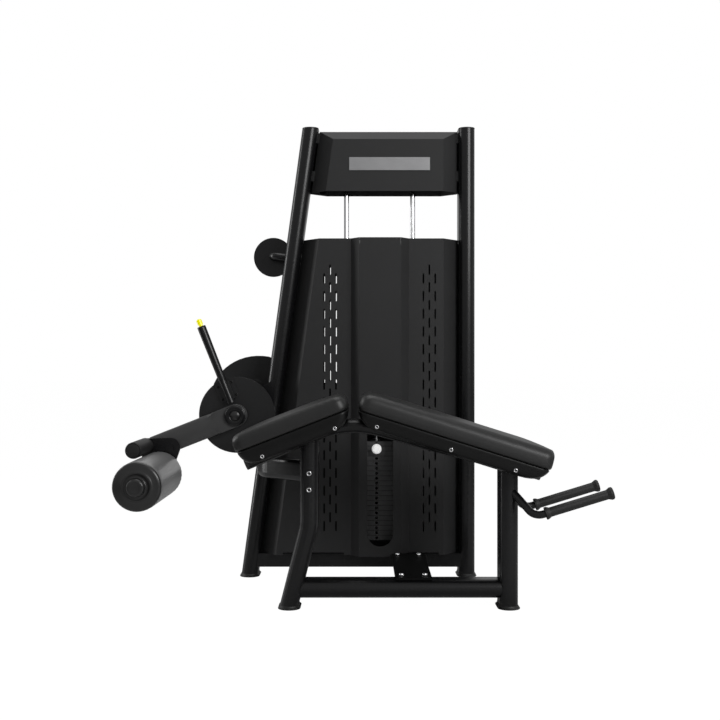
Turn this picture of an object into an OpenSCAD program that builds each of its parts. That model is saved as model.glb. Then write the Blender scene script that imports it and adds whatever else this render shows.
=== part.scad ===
// Prone leg curl machine: a weight tower with a two-part bench in front of it and
// a swinging ankle roller on the left. Millimetres, Z up, X along the bench towards
// the head end, Y from the bench back to the tower.

/* [Tower] */
// Height of the tower uprights
tower_h = 1680; // [1500:10:1900]
// Distance from the bench plane back to the tower plane
tower_y = 555; // [520:5:620]
// X place of the right upright
right_x = 400; // [380:5:460]
// X place of the left upright at the floor
left_x = -415; // [-460:5:-400]
// Lean of the left upright, degrees from the vertical
lean = 7.77; // [6:0.1:9]
// Narrow width of the oval frame tube
tube_w = 60; // [50:1:70]
// Deep width of the oval frame tube
tube_d = 120; // [100:1:130]
// Wall of the frame tubes
tube_t = 3; // [2:0.5:5]
// Height of the base beam
beam_h = 50; // [40:1:60]
// Depth of the base beam
beam_d = 100; // [80:1:110]
// Floor to the underside of the base beam
beam_z = 37; // [25:1:45]
// Height of each header crossbar
bar_h = 38; // [25:1:40]
// Depth of each header crossbar
bar_d = 50; // [40:1:56]
// Middle height of the lower crossbar
bar_low_z = 1501; // [1485:1:1520]
// Middle height of the upper crossbar
bar_high_z = 1644; // [1630:1:1646]

/* [Feet] */
// How far a foot stands out past its tube
foot_rim = 7; // [4:1:12]
// Thickness of a foot
foot_h = 12; // [8:1:20]

/* [Header and covers] */
// Sheet thickness of the header and covers
sheet_t = 2; // [1.5:0.5:3]
// Underside of the header cover
header_z = 1439; // [1425:1:1455]
// Top of the header cover
header_top = 1668; // [1666:1:1675]
// Depth of the header cover
header_d = 144; // [130:1:160]
// Height of the header's top bevel
header_bevel_h = 36; // [20:1:45]
// Depth of the header's bevels, front to back
header_bevel_d = 50; // [40:1:58]
// Width of the header's side bevels
header_side = 56; // [40:1:62]
// Badge plate width
badge_w = 300; // [200:5:320]
// Badge plate height
badge_h = 48; // [30:1:60]
// Middle of the badge plate above the floor
badge_z = 1540; // [1500:5:1560]
// Top of the front shroud and the rear cover
shroud_top = 1261; // [1240:1:1290]
// Distance of the shroud's slotted faces in front of the tower plane
shroud_panel = 85; // [75:1:95]
// How far the shroud's centre face stands out from its slotted faces
shroud_step = 40; // [25:1:50]
// Width of the shroud's centre face
shroud_centre_w = 154; // [140:1:170]
// Width of each sloping face beside the centre face
shroud_slope_w = 30; // [20:1:40]
// Width of the facets that turn back to the uprights
shroud_facet_w = 60; // [45:1:70]
// Distance of the rear cover behind the tower plane
rear_gap = 57; // [56:1:59]
// Slot width
slot_w = 6; // [4:0.5:8]
// Slot length
slot_l = 38; // [30:1:44]
// Slot pitch along a column
slot_pitch = 65.6; // [60:0.2:72]
// Spacing of the three slot columns
slot_gap = 21.9; // [16:0.1:25]
// Slots in a column
slot_n = 15; // [8:1:15]
// Height of the lowest slot's middle in the outer columns
slot_z = 194; // [180:1:215]
// X place of the left slot group
slot_left_x = -111; // [-120:1:-100]
// X place of the right slot group
slot_right_x = 257; // [245:1:265]
// Width of the selector window
window_w = 95; // [70:1:110]
// Bottom of the selector window
window_z = 125; // [110:1:140]
// Top of the selector window
window_top = 590; // [550:5:640]

/* [Weight stack] */
// X place of the stack's middle
stack_x = 74; // [70:1:78]
// Distance between the guide rods
rod_gap = 250; // [230:1:260]
// Guide rod diameter
rod_d = 19; // [16:1:22]
// Plate width
plate_w = 330; // [310:1:340]
// Plate depth
plate_d = 106; // [90:1:108]
// Height from one plate to the next
plate_pitch = 18.5; // [16:0.1:20]
// Plates in the stack, the head plate included
plate_n = 20; // [12:1:20]
// Height of the rubber bumpers under the stack
bumper_h = 50; // [30:1:60]
// Bumper diameter
bumper_d = 46; // [36:1:60]
// Selector stem's offset from the stack's middle
stem_shift = -12; // [-15:1:0]
// Selector stem diameter
stem_d = 26; // [22:1:30]
// Selector pin diameter
pin_d = 10; // [8:0.5:11]
// Selector knob diameter
knob_d = 36; // [28:1:44]
// Selector knob length
knob_l = 24; // [18:1:30]

/* [Drive] */
// X place of the arm's pivot
pivot_x = -435; // [-450:1:-425]
// Height of the arm's pivot
pivot_z = 616; // [600:1:640]
// Drive shaft diameter
shaft_d = 30; // [25:1:36]
// Bearing housing's outer diameter
housing_d = 70; // [62:1:78]
// Largest radius of the cable on the cam
cam_r = 220; // [214:1:222]
// Radius of the cable at the cam's small end
cam_small_r = 150; // [130:1:165]
// Width of the cam's rim
cam_w = 16; // [14:1:20]
// Cable diameter
cable_d = 6; // [5:0.5:6.5]
// Radius of the cable on a pulley
pulley_r = 33; // [30:1:36]
// Height of the pulleys' axles
pulley_z = 1235; // [1234:1:1237]
// Width of a pulley
pulley_w = 18; // [14:1:20]
// Pulley axle diameter
axle_d = 12; // [10:1:14]

/* [Arm] */
// Angle of the arm below the level, to the left
arm_down = 21.5; // [18:0.5:26]
// Length of the arm from its pivot to its tip
arm_l = 352; // [345:1:365]
// Height of the arm tube
arm_h = 78; // [70:1:84]
// Thickness of the arm tube
arm_t = 42; // [36:1:44]
// Distance from the bench plane back to the front of the arm
arm_y = 222; // [221:1:226]
// Diameter of the round disc behind the arm
disc_d = 268; // [250:1:280]
// Thickness of the disc and the index plate
disc_t = 8; // [6:1:10]
// Diameter of the index plate
index_d = 190; // [170:1:200]
// Lever length from the pivot
lever_l = 335; // [300:1:360]
// Lever diameter
lever_d = 25; // [20:1:28]
// Release button diameter
button_d = 19; // [15:1:20]
// Release button length
button_l = 20; // [16:1:26]
// Lever bracket width, across the lever
bracket_w = 70; // [60:1:80]
// Lever bracket length, along the lever
bracket_l = 66; // [55:1:70]
// Link bolt's distance along the arm
bolt_along = 250; // [240:1:258]
// Link bolt's distance below the arm's middle line
bolt_below = 21; // [15:1:24]
// Link bolt diameter
bolt_d = 16; // [12:1:20]
// Roller axle's distance along the arm
roller_along = 315; // [308:1:322]
// Roller axle's distance below the arm's middle line
roller_below = 92; // [88:1:96]
// Peg's distance along the arm
peg_along = 327; // [324:1:330]
// Peg's distance above the arm's middle line
peg_above = 17; // [15:1:20]
// Peg diameter
peg_d = 22; // [18:1:26]
// Diameter of the peg's round end
peg_end_d = 50; // [40:1:52]
// Roller diameter
roller_d = 157; // [140:1:158]
// Roller length
roller_l = 400; // [340:5:405]
// Roller axle diameter
roller_axle_d = 20; // [16:1:25]

/* [Bench] */
// X place of the bend in the spine
spine_x = -42; // [-50:1:-35]
// Height of the bend in the spine
spine_z = 611; // [600:1:625]
// Slope of the spine's thigh end, degrees
thigh_slope = 22.8; // [20:0.2:24]
// Length of the spine's thigh end from the bend
thigh_l = 350; // [320:1:370]
// Length of the spine's torso end from the bend
torso_l = 645; // [600:1:680]
// Spine tube height
spine_h = 44; // [40:1:52]
// Spine tube depth
spine_d = 100; // [90:1:110]
// Radius of the spine's bend
spine_r = 300; // [200:10:340]
// X place of the right post
post_right_x = 485; // [470:1:500]
// X place of the left post
post_left_x = -165; // [-175:1:-155]
// Height of the bend in the left post
post_bend_z = 270; // [250:5:300]
// Slope of the left post's lower part, degrees
post_slope = 14.3; // [10:0.1:16]
// Depth of the bench's base tube
base_d = 100; // [90:1:110]
// Middle height of the bench's base tube
base_z = 63; // [58:1:70]
// Link tube height
link_h = 76; // [60:1:84]
// Link tube thickness
link_t = 40; // [36:1:50]
// Middle height of the link tube
link_z = 439; // [425:1:450]
// X place of the link tube where it runs back
link_x = -342; // [-348:1:-335]
// Connector plate width
connector_w = 120; // [100:1:140]
// X place of the connector plate
connector_x = 175; // [150:1:190]
// Thickness of the connector plate and its tongue
connector_t = 8; // [6:1:10]
// Bolt spacing across the connector plate
connector_bolts = 77.4; // [60:0.2:90]

/* [Pads] */
// Pad width
pad_w = 290; // [260:1:320]
// Thigh pad length
thigh_pad_l = 388; // [360:1:400]
// Thigh pad slope, degrees
thigh_pad_slope = 21.3; // [20:0.1:22]
// Torso pad length
torso_pad_l = 647; // [600:1:660]
// Torso pad slope, degrees
torso_pad_slope = 17.4; // [17:0.1:18]
// Cushion thickness at its sides
pad_h = 52; // [44:1:60]
// Height of the crown in a cushion's middle
pad_crown = 7; // [3:1:12]
// How far a cushion's sides draw in below their widest line
pad_tuck = 9; // [4:1:14]
// Corner radius of a cushion seen from above
pad_corner = 34; // [24:1:44]

/* [Handles] */
// Distance of each grip from the bench plane
grip_y = 110; // [95:1:125]
// Handle bar diameter
handle_d = 25; // [20:1:28]
// Grip diameter
grip_d = 31; // [31:1:36]
// Grip diameter at its flared ends
grip_flare = 41; // [37:1:46]
// Grip length
grip_l = 226; // [180:1:240]
// Rise of the grips, degrees
grip_rise = 17; // [10:0.5:22]

/* [Hook] */
// Diameter of the hook's round stop
hook_disc_d = 150; // [110:1:160]
// Hook rod diameter
hook_d = 25; // [18:1:28]
// Height of the hook
hook_z = 1194; // [1150:1:1230]

/* [Fits] */
// Gap left at a welded or coped end
weld_gap = 0.2; // [0.1:0.1:0.4]
// Radial clearance of a running shaft
run_gap = 0.05; // [0.03:0.01:0.08]
// Gap between a cover and what it seats on
seat_gap = 0.3; // [0.2:0.1:0.5]
// Radial clearance of the guide rods and the stem in the plates
slide_gap = 1; // [0.6:0.1:1.5]

/* [Hidden] */
$fn = 96;
big = 4000;
eps = 0.01;

// Reach of the whole machine, which places the origin at the middle of its footprint
arm_dir = [-cos(arm_down), -sin(arm_down)];
arm_up = [-sin(arm_down), cos(arm_down)];
function arm_point(along, above) = [
    pivot_x + along * arm_dir[0] + above * arm_up[0],
    pivot_z + along * arm_dir[1] + above * arm_up[1]
];
roller_at = arm_point(roller_along, -roller_below);
peg_at = arm_point(peg_along, peg_above);
link_bolt_at = arm_point(bolt_along, -bolt_below);
nose_l = 22;
cap_l = 14;
grip_at = [592, 320];
grip_end_x = grip_at[0] + grip_l * cos(grip_rise) + (grip_flare / 2 - 3) * sin(grip_rise);
reach_left = roller_at[0] - roller_d / 2;
link_plate_t = 12;
link_plate_y = arm_y - 1 - link_plate_t;
rear_cap_l = 6;
roller_clear = 3;
roller_back = link_plate_y - roller_clear - rear_cap_l;
roller_front = roller_back - roller_l;
reach_front = roller_front - cap_l - nose_l;
cam_y = tower_y + tube_d / 2 + 17;
shaft_end_y = cam_y + cam_w + 12;
origin_x = (reach_left + grip_end_x) / 2;
origin_y = (reach_front + shaft_end_y) / 2;

// Tower
left_lean_x = tan(lean);
function left_at(z) = left_x + z * left_lean_x;
lean_half = tube_w / 2 / cos(lean);
beam_top = beam_z + beam_h;
bar_zs = [bar_low_z, bar_high_z];
inner_right = right_x - tube_w / 2;

// Covers
panel_y = tower_y - shroud_panel;
centre_y = panel_y - shroud_step;
facet_y = tower_y - 10;
shroud_z = beam_top + seat_gap;
centre_l = stack_x - shroud_centre_w / 2;
centre_r = stack_x + shroud_centre_w / 2;
facet_r = inner_right - seat_gap;
rear_y = tower_y + rear_gap;
rear_top = shroud_top - 8;
relief_h = 9;
relief_inset = 26;

// Stack
stem_x = stack_x + stem_shift;
stack_z = beam_top + bumper_h;
plate_t = plate_pitch - 0.2;
head_z = stack_z + (plate_n - 1) * plate_pitch;
lifted_z = head_z - plate_pitch;
stack_front = tower_y - plate_d / 2;
rod_top = bar_low_z + bar_h / 2 + 12;
clevis_h = 26;
stem_low = stack_z + 4;
pin_tail = 20;

// Drive
housing_front = arm_y + arm_t + 3 * disc_t + 22;
gusset_t = 8;
gusset_h = 122;
gusset_lap = 16;
gusset_neck = 40;
gusset_rim = 18;
gusset_front_y = tower_y - tube_d / 2 - gusset_t;
gusset_rear_y = tower_y + tube_d / 2;
housing_back = gusset_rear_y + gusset_t;
bush_t = 9;
bush_l = 24;
cable_y = cam_y + cam_w / 2;
cable_x = pivot_x + cam_r;
run_turn = atan2(cable_y - tower_y, stem_x - cable_x);
run_l = norm([stem_x - cable_x, cable_y - tower_y]);
cheek_t = 5;
cheek_gap = 1;
bridge_h = 20;
bridge_d = 34;
bridge_z = pulley_z - pulley_r - 4 - bridge_h;
bridge_y = tower_y + 17;
cheek_h = 52;
cheek_out = pulley_w / 2 + cheek_gap + cheek_t;
cheek_cross = (cable_y + cheek_out * cos(run_turn) - rear_y) / sin(run_turn);
cheek_clear = 6;
cover_open_x = cable_x + cheek_cross * cos(run_turn) + cheek_out * sin(run_turn) + cheek_clear;

// Arm
disc_y = arm_y + arm_t + 11;
index_y = disc_y + disc_t + 7;
lever_y = arm_y + arm_t / 2 + 10;
lever_start = arm_h / 2 + 8;
peg_front = 6;

// Bench
post_r = 160;
thigh_at = [-388, 517];
torso_at = [-8, 651];
plug_l = 10;

// Slope of the spine's torso end: its upper corner just clears the cushion above it
spine_clear = 1.5;
pad_over = (torso_at - [spine_x, spine_z]) * [sin(torso_pad_slope), cos(torso_pad_slope)];
corner_l = norm([torso_l + plug_l, spine_h / 2]);
corner_a = atan2(spine_h / 2, torso_l + plug_l);
torso_slope = torso_pad_slope - asin((pad_over - spine_clear) / corner_l) + corner_a;
right_post_top = spine_z - (post_right_x - spine_x) * tan(torso_slope);
left_post_top = spine_z - (spine_x - post_left_x) * tan(thigh_slope);
handle_root = [post_right_x + 4, 40, 390];
handle_lead = 36;
handle_r = 40;
bolt_head_d = 20;
bolt_head_h = 5;
base_top = base_z + tube_w / 2;
connector_front = -40;
connector_back = centre_y - 4;
link_run_y = 232;
link_end_y = tower_y - (tube_d - tube_w) / 2;

module place() {
    translate([-origin_x, -origin_y, 0]) children();
}

module oval(w, d) {
    square([w, d - w], center = true);
    for (s = [-1, 1]) translate([0, s * (d - w) / 2]) circle(d = w);
}

module oval_ring(w, d, t) {
    difference() {
        oval(w, d);
        oval(w - 2 * t, d - 2 * t);
    }
}

// Round bar from one point to another
module bar(a, b, d) {
    v = b - a;
    translate(a)
        rotate([0, acos(v[2] / norm(v)), atan2(v[1], v[0])])
            cylinder(d = d, h = norm(v));
}

// A profile swept straight, round a bend towards +X and straight again; the bend's
// vertex is the origin and the first length comes up from below
module bent(l1, l2, turn, r) {
    tangent = r * tan(turn / 2);
    translate([0, 0, -l1]) linear_extrude(l1 - tangent) children();
    translate([r, 0, -tangent]) rotate([90, 0, 0]) rotate([0, 0, 180 - turn])
        rotate_extrude(angle = turn) translate([r, 0]) children();
    rotate([0, turn, 0]) translate([0, 0, tangent]) linear_extrude(l2 - tangent) children();
}

// Points round an oval, both round ends in even steps
oval_steps = 10;
function oval_points(w, d) = [
    for (h = [0, 1], i = [0 : oval_steps]) let(a = 180 * h + 180 * i / oval_steps)
        [w / 2 * cos(a), (1 - 2 * h) * (d - w) / 2 + w / 2 * sin(a)]
];

// The same sweep for a hollow oval tube as one skin, open at both ends; the first end
// is cut at an angle to the tube
bend_steps = 8;
function bend_stations(l1, l2, turn, r, cut) = let(tangent = r * tan(turn / 2)) concat(
    [[0, -l1, cut, 1 / cos(cut)]],
    [for (i = [0 : bend_steps]) let(a = turn * i / bend_steps)
        [r - r * cos(a), -tangent + r * sin(a), a, 1]],
    [[l2 * sin(turn), l2 * cos(turn), turn, 1]]
);
function tube_ring(s, outline) = [
    for (q = outline) [s[0] + s[3] * q[0] * cos(s[2]), q[1], s[1] - s[3] * q[0] * sin(s[2])]
];

module bent_tube(l1, l2, turn, r, w, d, cut = 0) {
    stations = bend_stations(l1, l2, turn, r, cut);
    n = 2 * (oval_steps + 1);
    last = len(stations) - 1;
    inner = (last + 1) * n;
    end = last * n;
    points = concat(
        [for (s = stations) each tube_ring(s, oval_points(w, d))],
        [for (s = stations) each tube_ring(s, oval_points(w - 2 * tube_t, d - 2 * tube_t))]
    );
    steps = [for (k = [0 : last - 1], i = [0 : n - 1]) [k * n + i, k * n + (i + 1) % n]];
    rim = [for (i = [0 : n - 1]) [i, (i + 1) % n]];
    polyhedron(points, concat(
        [for (e = steps) each [[e[0], e[0] + n, e[1]], [e[1], e[0] + n, e[1] + n]]],
        [for (e = steps) each [
            [inner + e[0], inner + e[1], inner + e[0] + n],
            [inner + e[1], inner + e[1] + n, inner + e[0] + n]
        ]],
        [for (e = rim) each [[e[0], e[1], inner + e[1]], [e[0], inner + e[1], inner + e[0]]]],
        [for (e = rim) each [
            [end + e[0], end + inner + e[1], end + e[1]],
            [end + e[0], end + inner + e[0], end + inner + e[1]]
        ]]
    ));
}

// A round bar through stations, closed at both ends
bar_sides = 20;
function ring_points(d) = [
    for (i = [0 : bar_sides - 1]) let(a = 360 * i / bar_sides) d / 2 * [cos(a), sin(a)]
];

module swept_bar(stations, d) {
    n = bar_sides;
    last = len(stations) - 1;
    points = [for (s = stations) each tube_ring(s, ring_points(d))];
    ends = [for (s = [stations[0], stations[last]]) [s[0], 0, s[1]]];
    middle = len(points);
    polyhedron(concat(points, ends), concat(
        [for (k = [0 : last - 1], i = [0 : n - 1]) let(a = k * n + i, b = k * n + (i + 1) % n)
            each [[a, a + n, b], [b, a + n, b + n]]],
        [for (i = [0 : n - 1]) [i, (i + 1) % n, middle]],
        [for (i = [0 : n - 1]) [last * n + i, middle + 1, last * n + (i + 1) % n]]
    ));
}

module above(z) {
    intersection() {
        children();
        translate([-big / 2, -big / 2, z]) cube(big);
    }
}

module below(z) {
    intersection() {
        children();
        translate([-big / 2, -big / 2, z - big]) cube(big);
    }
}

// Envelopes of the frame tubes, grown by a gap, that cope whatever meets them
module right_upright_shape(grow = 0) {
    translate([right_x, tower_y, 0]) linear_extrude(tower_h) oval(tube_w + 2 * grow, tube_d + 2 * grow);
}

module left_upright_shape(grow = 0) {
    translate([left_x, tower_y, 0]) rotate([0, lean, 0]) translate([0, 0, -60])
        linear_extrude(tower_h / cos(lean) + 120) oval(tube_w + 2 * grow, tube_d + 2 * grow);
}

module on_spine() {
    translate([spine_x, 0, spine_z]) rotate([0, 90 - thigh_slope, 0]) children();
}

// Straight ends of the spine
module thigh_leg(grow) {
    on_spine() translate([0, 0, -thigh_l]) linear_extrude(thigh_l) oval(spine_h + 2 * grow, spine_d + 2 * grow);
}

module torso_leg(grow) {
    on_spine() rotate([0, thigh_slope + torso_slope, 0])
        linear_extrude(torso_l) oval(spine_h + 2 * grow, spine_d + 2 * grow);
}

module right_post_shape(grow) {
    translate([post_right_x, 0, 0])
        linear_extrude(right_post_top + grow) oval(tube_w + 2 * grow, tube_d + 2 * grow);
}

module left_post_upper(grow) {
    translate([post_left_x, 0, post_bend_z])
        linear_extrude(left_post_top - post_bend_z + grow) oval(tube_w + 2 * grow, tube_d + 2 * grow);
}

module left_post_at() {
    translate([post_left_x, 0, post_bend_z]) mirror([1, 0, 0]) rotate([0, -post_slope, 0]) children();
}

module left_post_lower(grow) {
    left_post_at() translate([0, 0, -post_bend_z])
        linear_extrude(post_bend_z) oval(tube_w + 2 * grow, tube_d + 2 * grow);
}

module tower_right_upright() {
    color("#1b1b1c") place() translate([right_x, tower_y, 0]) difference() {
        translate([0, 0, foot_h]) linear_extrude(tower_h - foot_h) oval(tube_w, tube_d);
        translate([0, 0, foot_h - eps]) linear_extrude(tower_h - foot_h - tube_t)
            oval(tube_w - 2 * tube_t, tube_d - 2 * tube_t);
    }
}

module tower_left_upright() {
    color("#1b1b1c") place() difference() {
        below(tower_h) above(foot_h) left_upright_shape();
        below(tower_h - tube_t) left_upright_shape(-tube_t);
    }
}

module tower_base_beam() {
    color("#1b1b1c") place() difference() {
        union() {
            translate([left_x, tower_y - beam_d / 2, beam_z]) cube([right_x - left_x, beam_d, beam_h]);
            translate([connector_x - connector_w / 2 + 5, connector_back - 60, base_top - connector_t])
                cube([connector_w - 10, tower_y - beam_d / 2 - connector_back + 60 + tube_t, connector_t]);
        }
        translate([left_x - eps, tower_y - beam_d / 2 + tube_t, beam_z + tube_t])
            cube([right_x - left_x + 1, beam_d - 2 * tube_t, beam_h - 2 * tube_t]);
        right_upright_shape(weld_gap);
        left_upright_shape(weld_gap);
    }
}

module header_crossbars() {
    color("#2a2a2b") place() difference() {
        for (z = bar_zs) translate([left_x, tower_y - bar_d / 2, z - bar_h / 2]) difference() {
            cube([right_x - left_x, bar_d, bar_h]);
            translate([-1, tube_t, tube_t])
                cube([right_x - left_x + 2, bar_d - 2 * tube_t, bar_h - 2 * tube_t]);
        }
        right_upright_shape(weld_gap);
        below(tower_h + 100) left_upright_shape(weld_gap);
        translate([left_x - big, tower_y - big / 2, 0]) cube([big + left_at(bar_low_z) - left_x, big, big]);
        for (s = [-1, 1]) translate([stack_x + s * rod_gap / 2, tower_y, 0])
            cylinder(d = rod_d + 2 * weld_gap, h = rod_top);
    }
}

module foot(x, y) {
    translate([x, y, 0]) linear_extrude(foot_h) oval(tube_w + 2 * foot_rim, tube_d + 2 * foot_rim);
}

module floor_feet() {
    color("#121212") place() {
        foot(right_x, tower_y);
        foot(left_at(foot_h), tower_y);
        foot(post_right_x, 0);
        foot(post_left_x - (post_bend_z - foot_h) * tan(post_slope), 0);
    }
}

// Plan of the header at a height: a box with its four corners bevelled
function header_plan(z, wall) = let(
    l = left_at(z) + lean_half + 6 + wall,
    r = inner_right - 4 - wall,
    f = tower_y - header_d / 2 + wall,
    b = tower_y + header_d / 2 - wall,
    s = header_side - wall / 2,
    d = header_bevel_d - wall / 2
) [[l, f + d], [l + s, f], [r - s, f], [r, f + d], [r, b - d], [r - s, b], [l + s, b], [l, b - d]];

module header_block(wall) {
    hull() {
        for (z = [header_z - wall * 2, header_top - wall])
            translate([0, 0, z]) linear_extrude(eps) polygon(header_plan(z, wall));
    }
}

module header_profile(wall) {
    f = tower_y - header_d / 2 + wall;
    b = tower_y + header_d / 2 - wall;
    top = header_top - wall;
    translate([-big / 2, 0, 0]) rotate([90, 0, 90]) linear_extrude(big) polygon([
        [f, header_z - 3 * wall], [f, top - header_bevel_h], [f + header_bevel_d, top],
        [b - header_bevel_d, top], [b, top - header_bevel_h], [b, header_z - 3 * wall]
    ]);
}

module header_cover() {
    color("#313132") place() difference() {
        intersection() {
            header_block(0);
            header_profile(0);
        }
        intersection() {
            header_block(sheet_t);
            header_profile(sheet_t);
        }
        for (z = bar_zs)
            translate([left_x, tower_y - bar_d / 2 - seat_gap, z - bar_h / 2 - seat_gap])
                cube([right_x - left_x, bar_d + 2 * seat_gap, bar_h + 2 * seat_gap]);
    }
}

module badge_plate() {
    color("#c8c8c8") place()
        translate([stack_x + 36 - badge_w / 2, tower_y - header_d / 2 - sheet_t, badge_z - badge_h / 2])
            cube([badge_w, sheet_t, badge_h]);
}

// One obround slot standing in the XZ plane, cut along Y
module slot_row(x, y) {
    for (c = [-1, 0, 1], i = [0 : slot_n - 1])
        translate([x + c * slot_gap, y, slot_z + i * slot_pitch + (c == 0 ? slot_pitch / 2 : 0)])
            rotate([90, 0, 0]) linear_extrude(40, center = true) oval(slot_w, slot_l);
}

module shroud_right_plan() {
    t = sheet_t;
    polygon([
        [centre_l - shroud_slope_w - 4, panel_y], [centre_l - shroud_slope_w, panel_y], [centre_l, centre_y],
        [centre_r, centre_y], [centre_r + shroud_slope_w, panel_y], [facet_r - shroud_facet_w, panel_y],
        [facet_r, facet_y], [facet_r - t, facet_y + t], [facet_r - shroud_facet_w - t / 2, panel_y + t],
        [centre_r + shroud_slope_w - t / 2, panel_y + t], [centre_r - t / 2, centre_y + t],
        [centre_l + t / 2, centre_y + t], [centre_l - shroud_slope_w + t / 2, panel_y + t],
        [centre_l - shroud_slope_w - 4, panel_y + t]
    ]);
}

// The facet beside the left upright, drawn square to the lean and then leaned with it
module shroud_left_facet() {
    edge = tube_w / 2 + seat_gap;
    t = sheet_t;
    translate([left_x, 0, 0]) rotate([0, lean, 0]) translate([0, 0, -100]) linear_extrude(big / 2)
        polygon([
            [edge, facet_y], [edge + shroud_facet_w, panel_y], [edge + shroud_facet_w + t, panel_y],
            [edge + shroud_facet_w + t / 2, panel_y + t], [edge + t, facet_y + t]
        ]);
}

function facet_edge(z) = left_at(z) + (tube_w / 2 + seat_gap + shroud_facet_w) / cos(lean);

module shroud_left_panel() {
    translate([0, panel_y + sheet_t, 0]) rotate([90, 0, 0]) linear_extrude(sheet_t) polygon([
        [facet_edge(0), 0], [centre_l - shroud_slope_w, 0],
        [centre_l - shroud_slope_w, big / 2], [facet_edge(big / 2), big / 2]
    ]);
}

module window_cut() {
    low = window_z + window_w / 2;
    high = window_top - window_w / 2;
    translate([stack_x, centre_y, (low + high) / 2]) rotate([90, 0, 0])
        linear_extrude(3 * sheet_t + 4, center = true) oval(window_w, high - low + window_w);
}

// Space of the centre panel between the two folded sides
module centre_space(grow) {
    translate([centre_l + sheet_t - grow, centre_y - grow, shroud_z - grow])
        cube([shroud_centre_w - 2 * sheet_t + 2 * grow, sheet_t + 2 * grow, shroud_top - shroud_z + 2 * grow]);
}

module connector_relief() {
    translate([connector_x - connector_w / 2 - 3, centre_y - 5, 0])
        cube([connector_w + 60, shroud_step + 10, shroud_z + relief_h]);
}

module shroud_window_panel() {
    color("#303031") place() difference() {
        centre_space(0);
        window_cut();
        connector_relief();
    }
}

// Folded sides of the shroud, left and right of the centre panel
module front_shroud() {
    color("#303031") place() difference() {
        below(shroud_top) above(shroud_z) union() {
            linear_extrude(shroud_top) shroud_right_plan();
            below(shroud_top) shroud_left_panel();
            below(shroud_top) shroud_left_facet();
        }
        centre_space(weld_gap);
        slot_row(slot_left_x, panel_y);
        slot_row(slot_right_x, panel_y);
        translate([facet_edge(shroud_z) + relief_inset, panel_y - 5, 0])
            cube([centre_l - shroud_slope_w - facet_edge(shroud_z) - 2 * relief_inset, 10, shroud_z + relief_h]);
        connector_relief();
    }
}

module rear_cover() {
    edge = tube_w / 2 + seat_gap;
    flange = 30;
    lap = sheet_t / 2;
    color("#303031") place() difference() {
        below(rear_top) above(shroud_z) union() {
            translate([0, rear_y + sheet_t, 0]) rotate([90, 0, 0]) linear_extrude(sheet_t) polygon([
                [left_at(0) + edge / cos(lean) + lap, 0], [inner_right - seat_gap - lap, 0],
                [inner_right - seat_gap - lap, rear_top], [left_at(rear_top) + edge / cos(lean) + lap, rear_top]
            ]);
            translate([left_x, rear_y - flange, 0]) rotate([0, lean, 0]) translate([edge, 0, -100])
                cube([sheet_t, flange + lap, big / 2]);
            translate([inner_right - seat_gap - sheet_t, rear_y - flange, 0])
                cube([sheet_t, flange + lap, rear_top]);
        }
        slot_row(slot_left_x, rear_y);
        slot_row(slot_right_x, rear_y);
        translate([left_at(bridge_z) - 100, rear_y - flange - 1, bridge_z - 2])
            cube([cover_open_x - left_at(bridge_z) + 100, flange + 10, big]);
        translate([inner_right - 20, rear_y - flange - 1, bridge_z - 2])
            cube([40, flange - 4, bridge_h + 4]);
    }
}

module at_rods() {
    for (s = [-1, 1]) translate([stack_x + s * rod_gap / 2, tower_y, 0]) children();
}

module guide_rods() {
    color("#d9dadb") place() at_rods() translate([0, 0, beam_top]) cylinder(d = rod_d, h = rod_top - beam_top);
}

module rod_collars() {
    collar_h = 18;
    color("#8f9092") place() at_rods()
        for (z = [bar_low_z - bar_h / 2 - collar_h, bar_low_z + bar_h / 2]) translate([0, 0, z]) difference() {
            cylinder(d = rod_d + 12, h = z > bar_low_z ? rod_top - z : collar_h);
            translate([0, 0, -1]) cylinder(d = rod_d + 2 * weld_gap, h = collar_h + 2);
        }
}

module stack_bumpers() {
    color("#161616") place() at_rods() translate([0, 0, beam_top]) difference() {
        cylinder(d = bumper_d, h = bumper_h - 0.2);
        translate([0, 0, -1]) cylinder(d = rod_d + 2 * slide_gap, h = bumper_h + 2);
    }
}

module plate(z, hole = true) {
    r = 6;
    translate([0, 0, z]) difference() {
        linear_extrude(plate_t) difference() {
            translate([stack_x, tower_y]) {
                square([plate_w, plate_d - 2 * r], center = true);
                square([plate_w - 2 * r, plate_d], center = true);
                for (sx = [-1, 1], sy = [-1, 1])
                    translate([sx * (plate_w / 2 - r), sy * (plate_d / 2 - r)]) circle(r);
            }
            for (s = [-1, 1]) translate([stack_x + s * rod_gap / 2, tower_y]) circle(d = rod_d + 2 * slide_gap);
            translate([stem_x, tower_y]) circle(d = stem_d + 2 * (hole ? slide_gap : weld_gap));
        }
        translate([stem_x, tower_y + pin_tail + slide_gap, plate_t / 2]) rotate([90, 0, 0])
            cylinder(d = pin_d + slide_gap, h = plate_d);
    }
}

module weight_plates() {
    color("#232324") place() for (i = [0 : plate_n - 3]) plate(stack_z + i * plate_pitch);
}

module head_plate() {
    color("#232324") place() plate(head_z, false);
}

module lifted_plate() {
    color("#232324") place() plate(lifted_z, false);
}

module selector_stem() {
    color("#b9babc") place() difference() {
        translate([stem_x, tower_y, stem_low]) cylinder(d = stem_d, h = head_z + plate_pitch - stem_low);
        for (i = [0 : plate_n - 1])
            translate([stem_x, tower_y, stack_z + i * plate_pitch + plate_t / 2]) rotate([90, 0, 0])
                cylinder(d = pin_d + 2 * weld_gap, h = stem_d + 2, center = true);
    }
}

module cable_clevis() {
    low = head_z + plate_pitch;
    color("#d9dadb") place() translate([stem_x, tower_y, low]) {
        cylinder(d = stem_d + 8, h = 8);
        cylinder(d = 16, h = clevis_h);
    }
}

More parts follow.
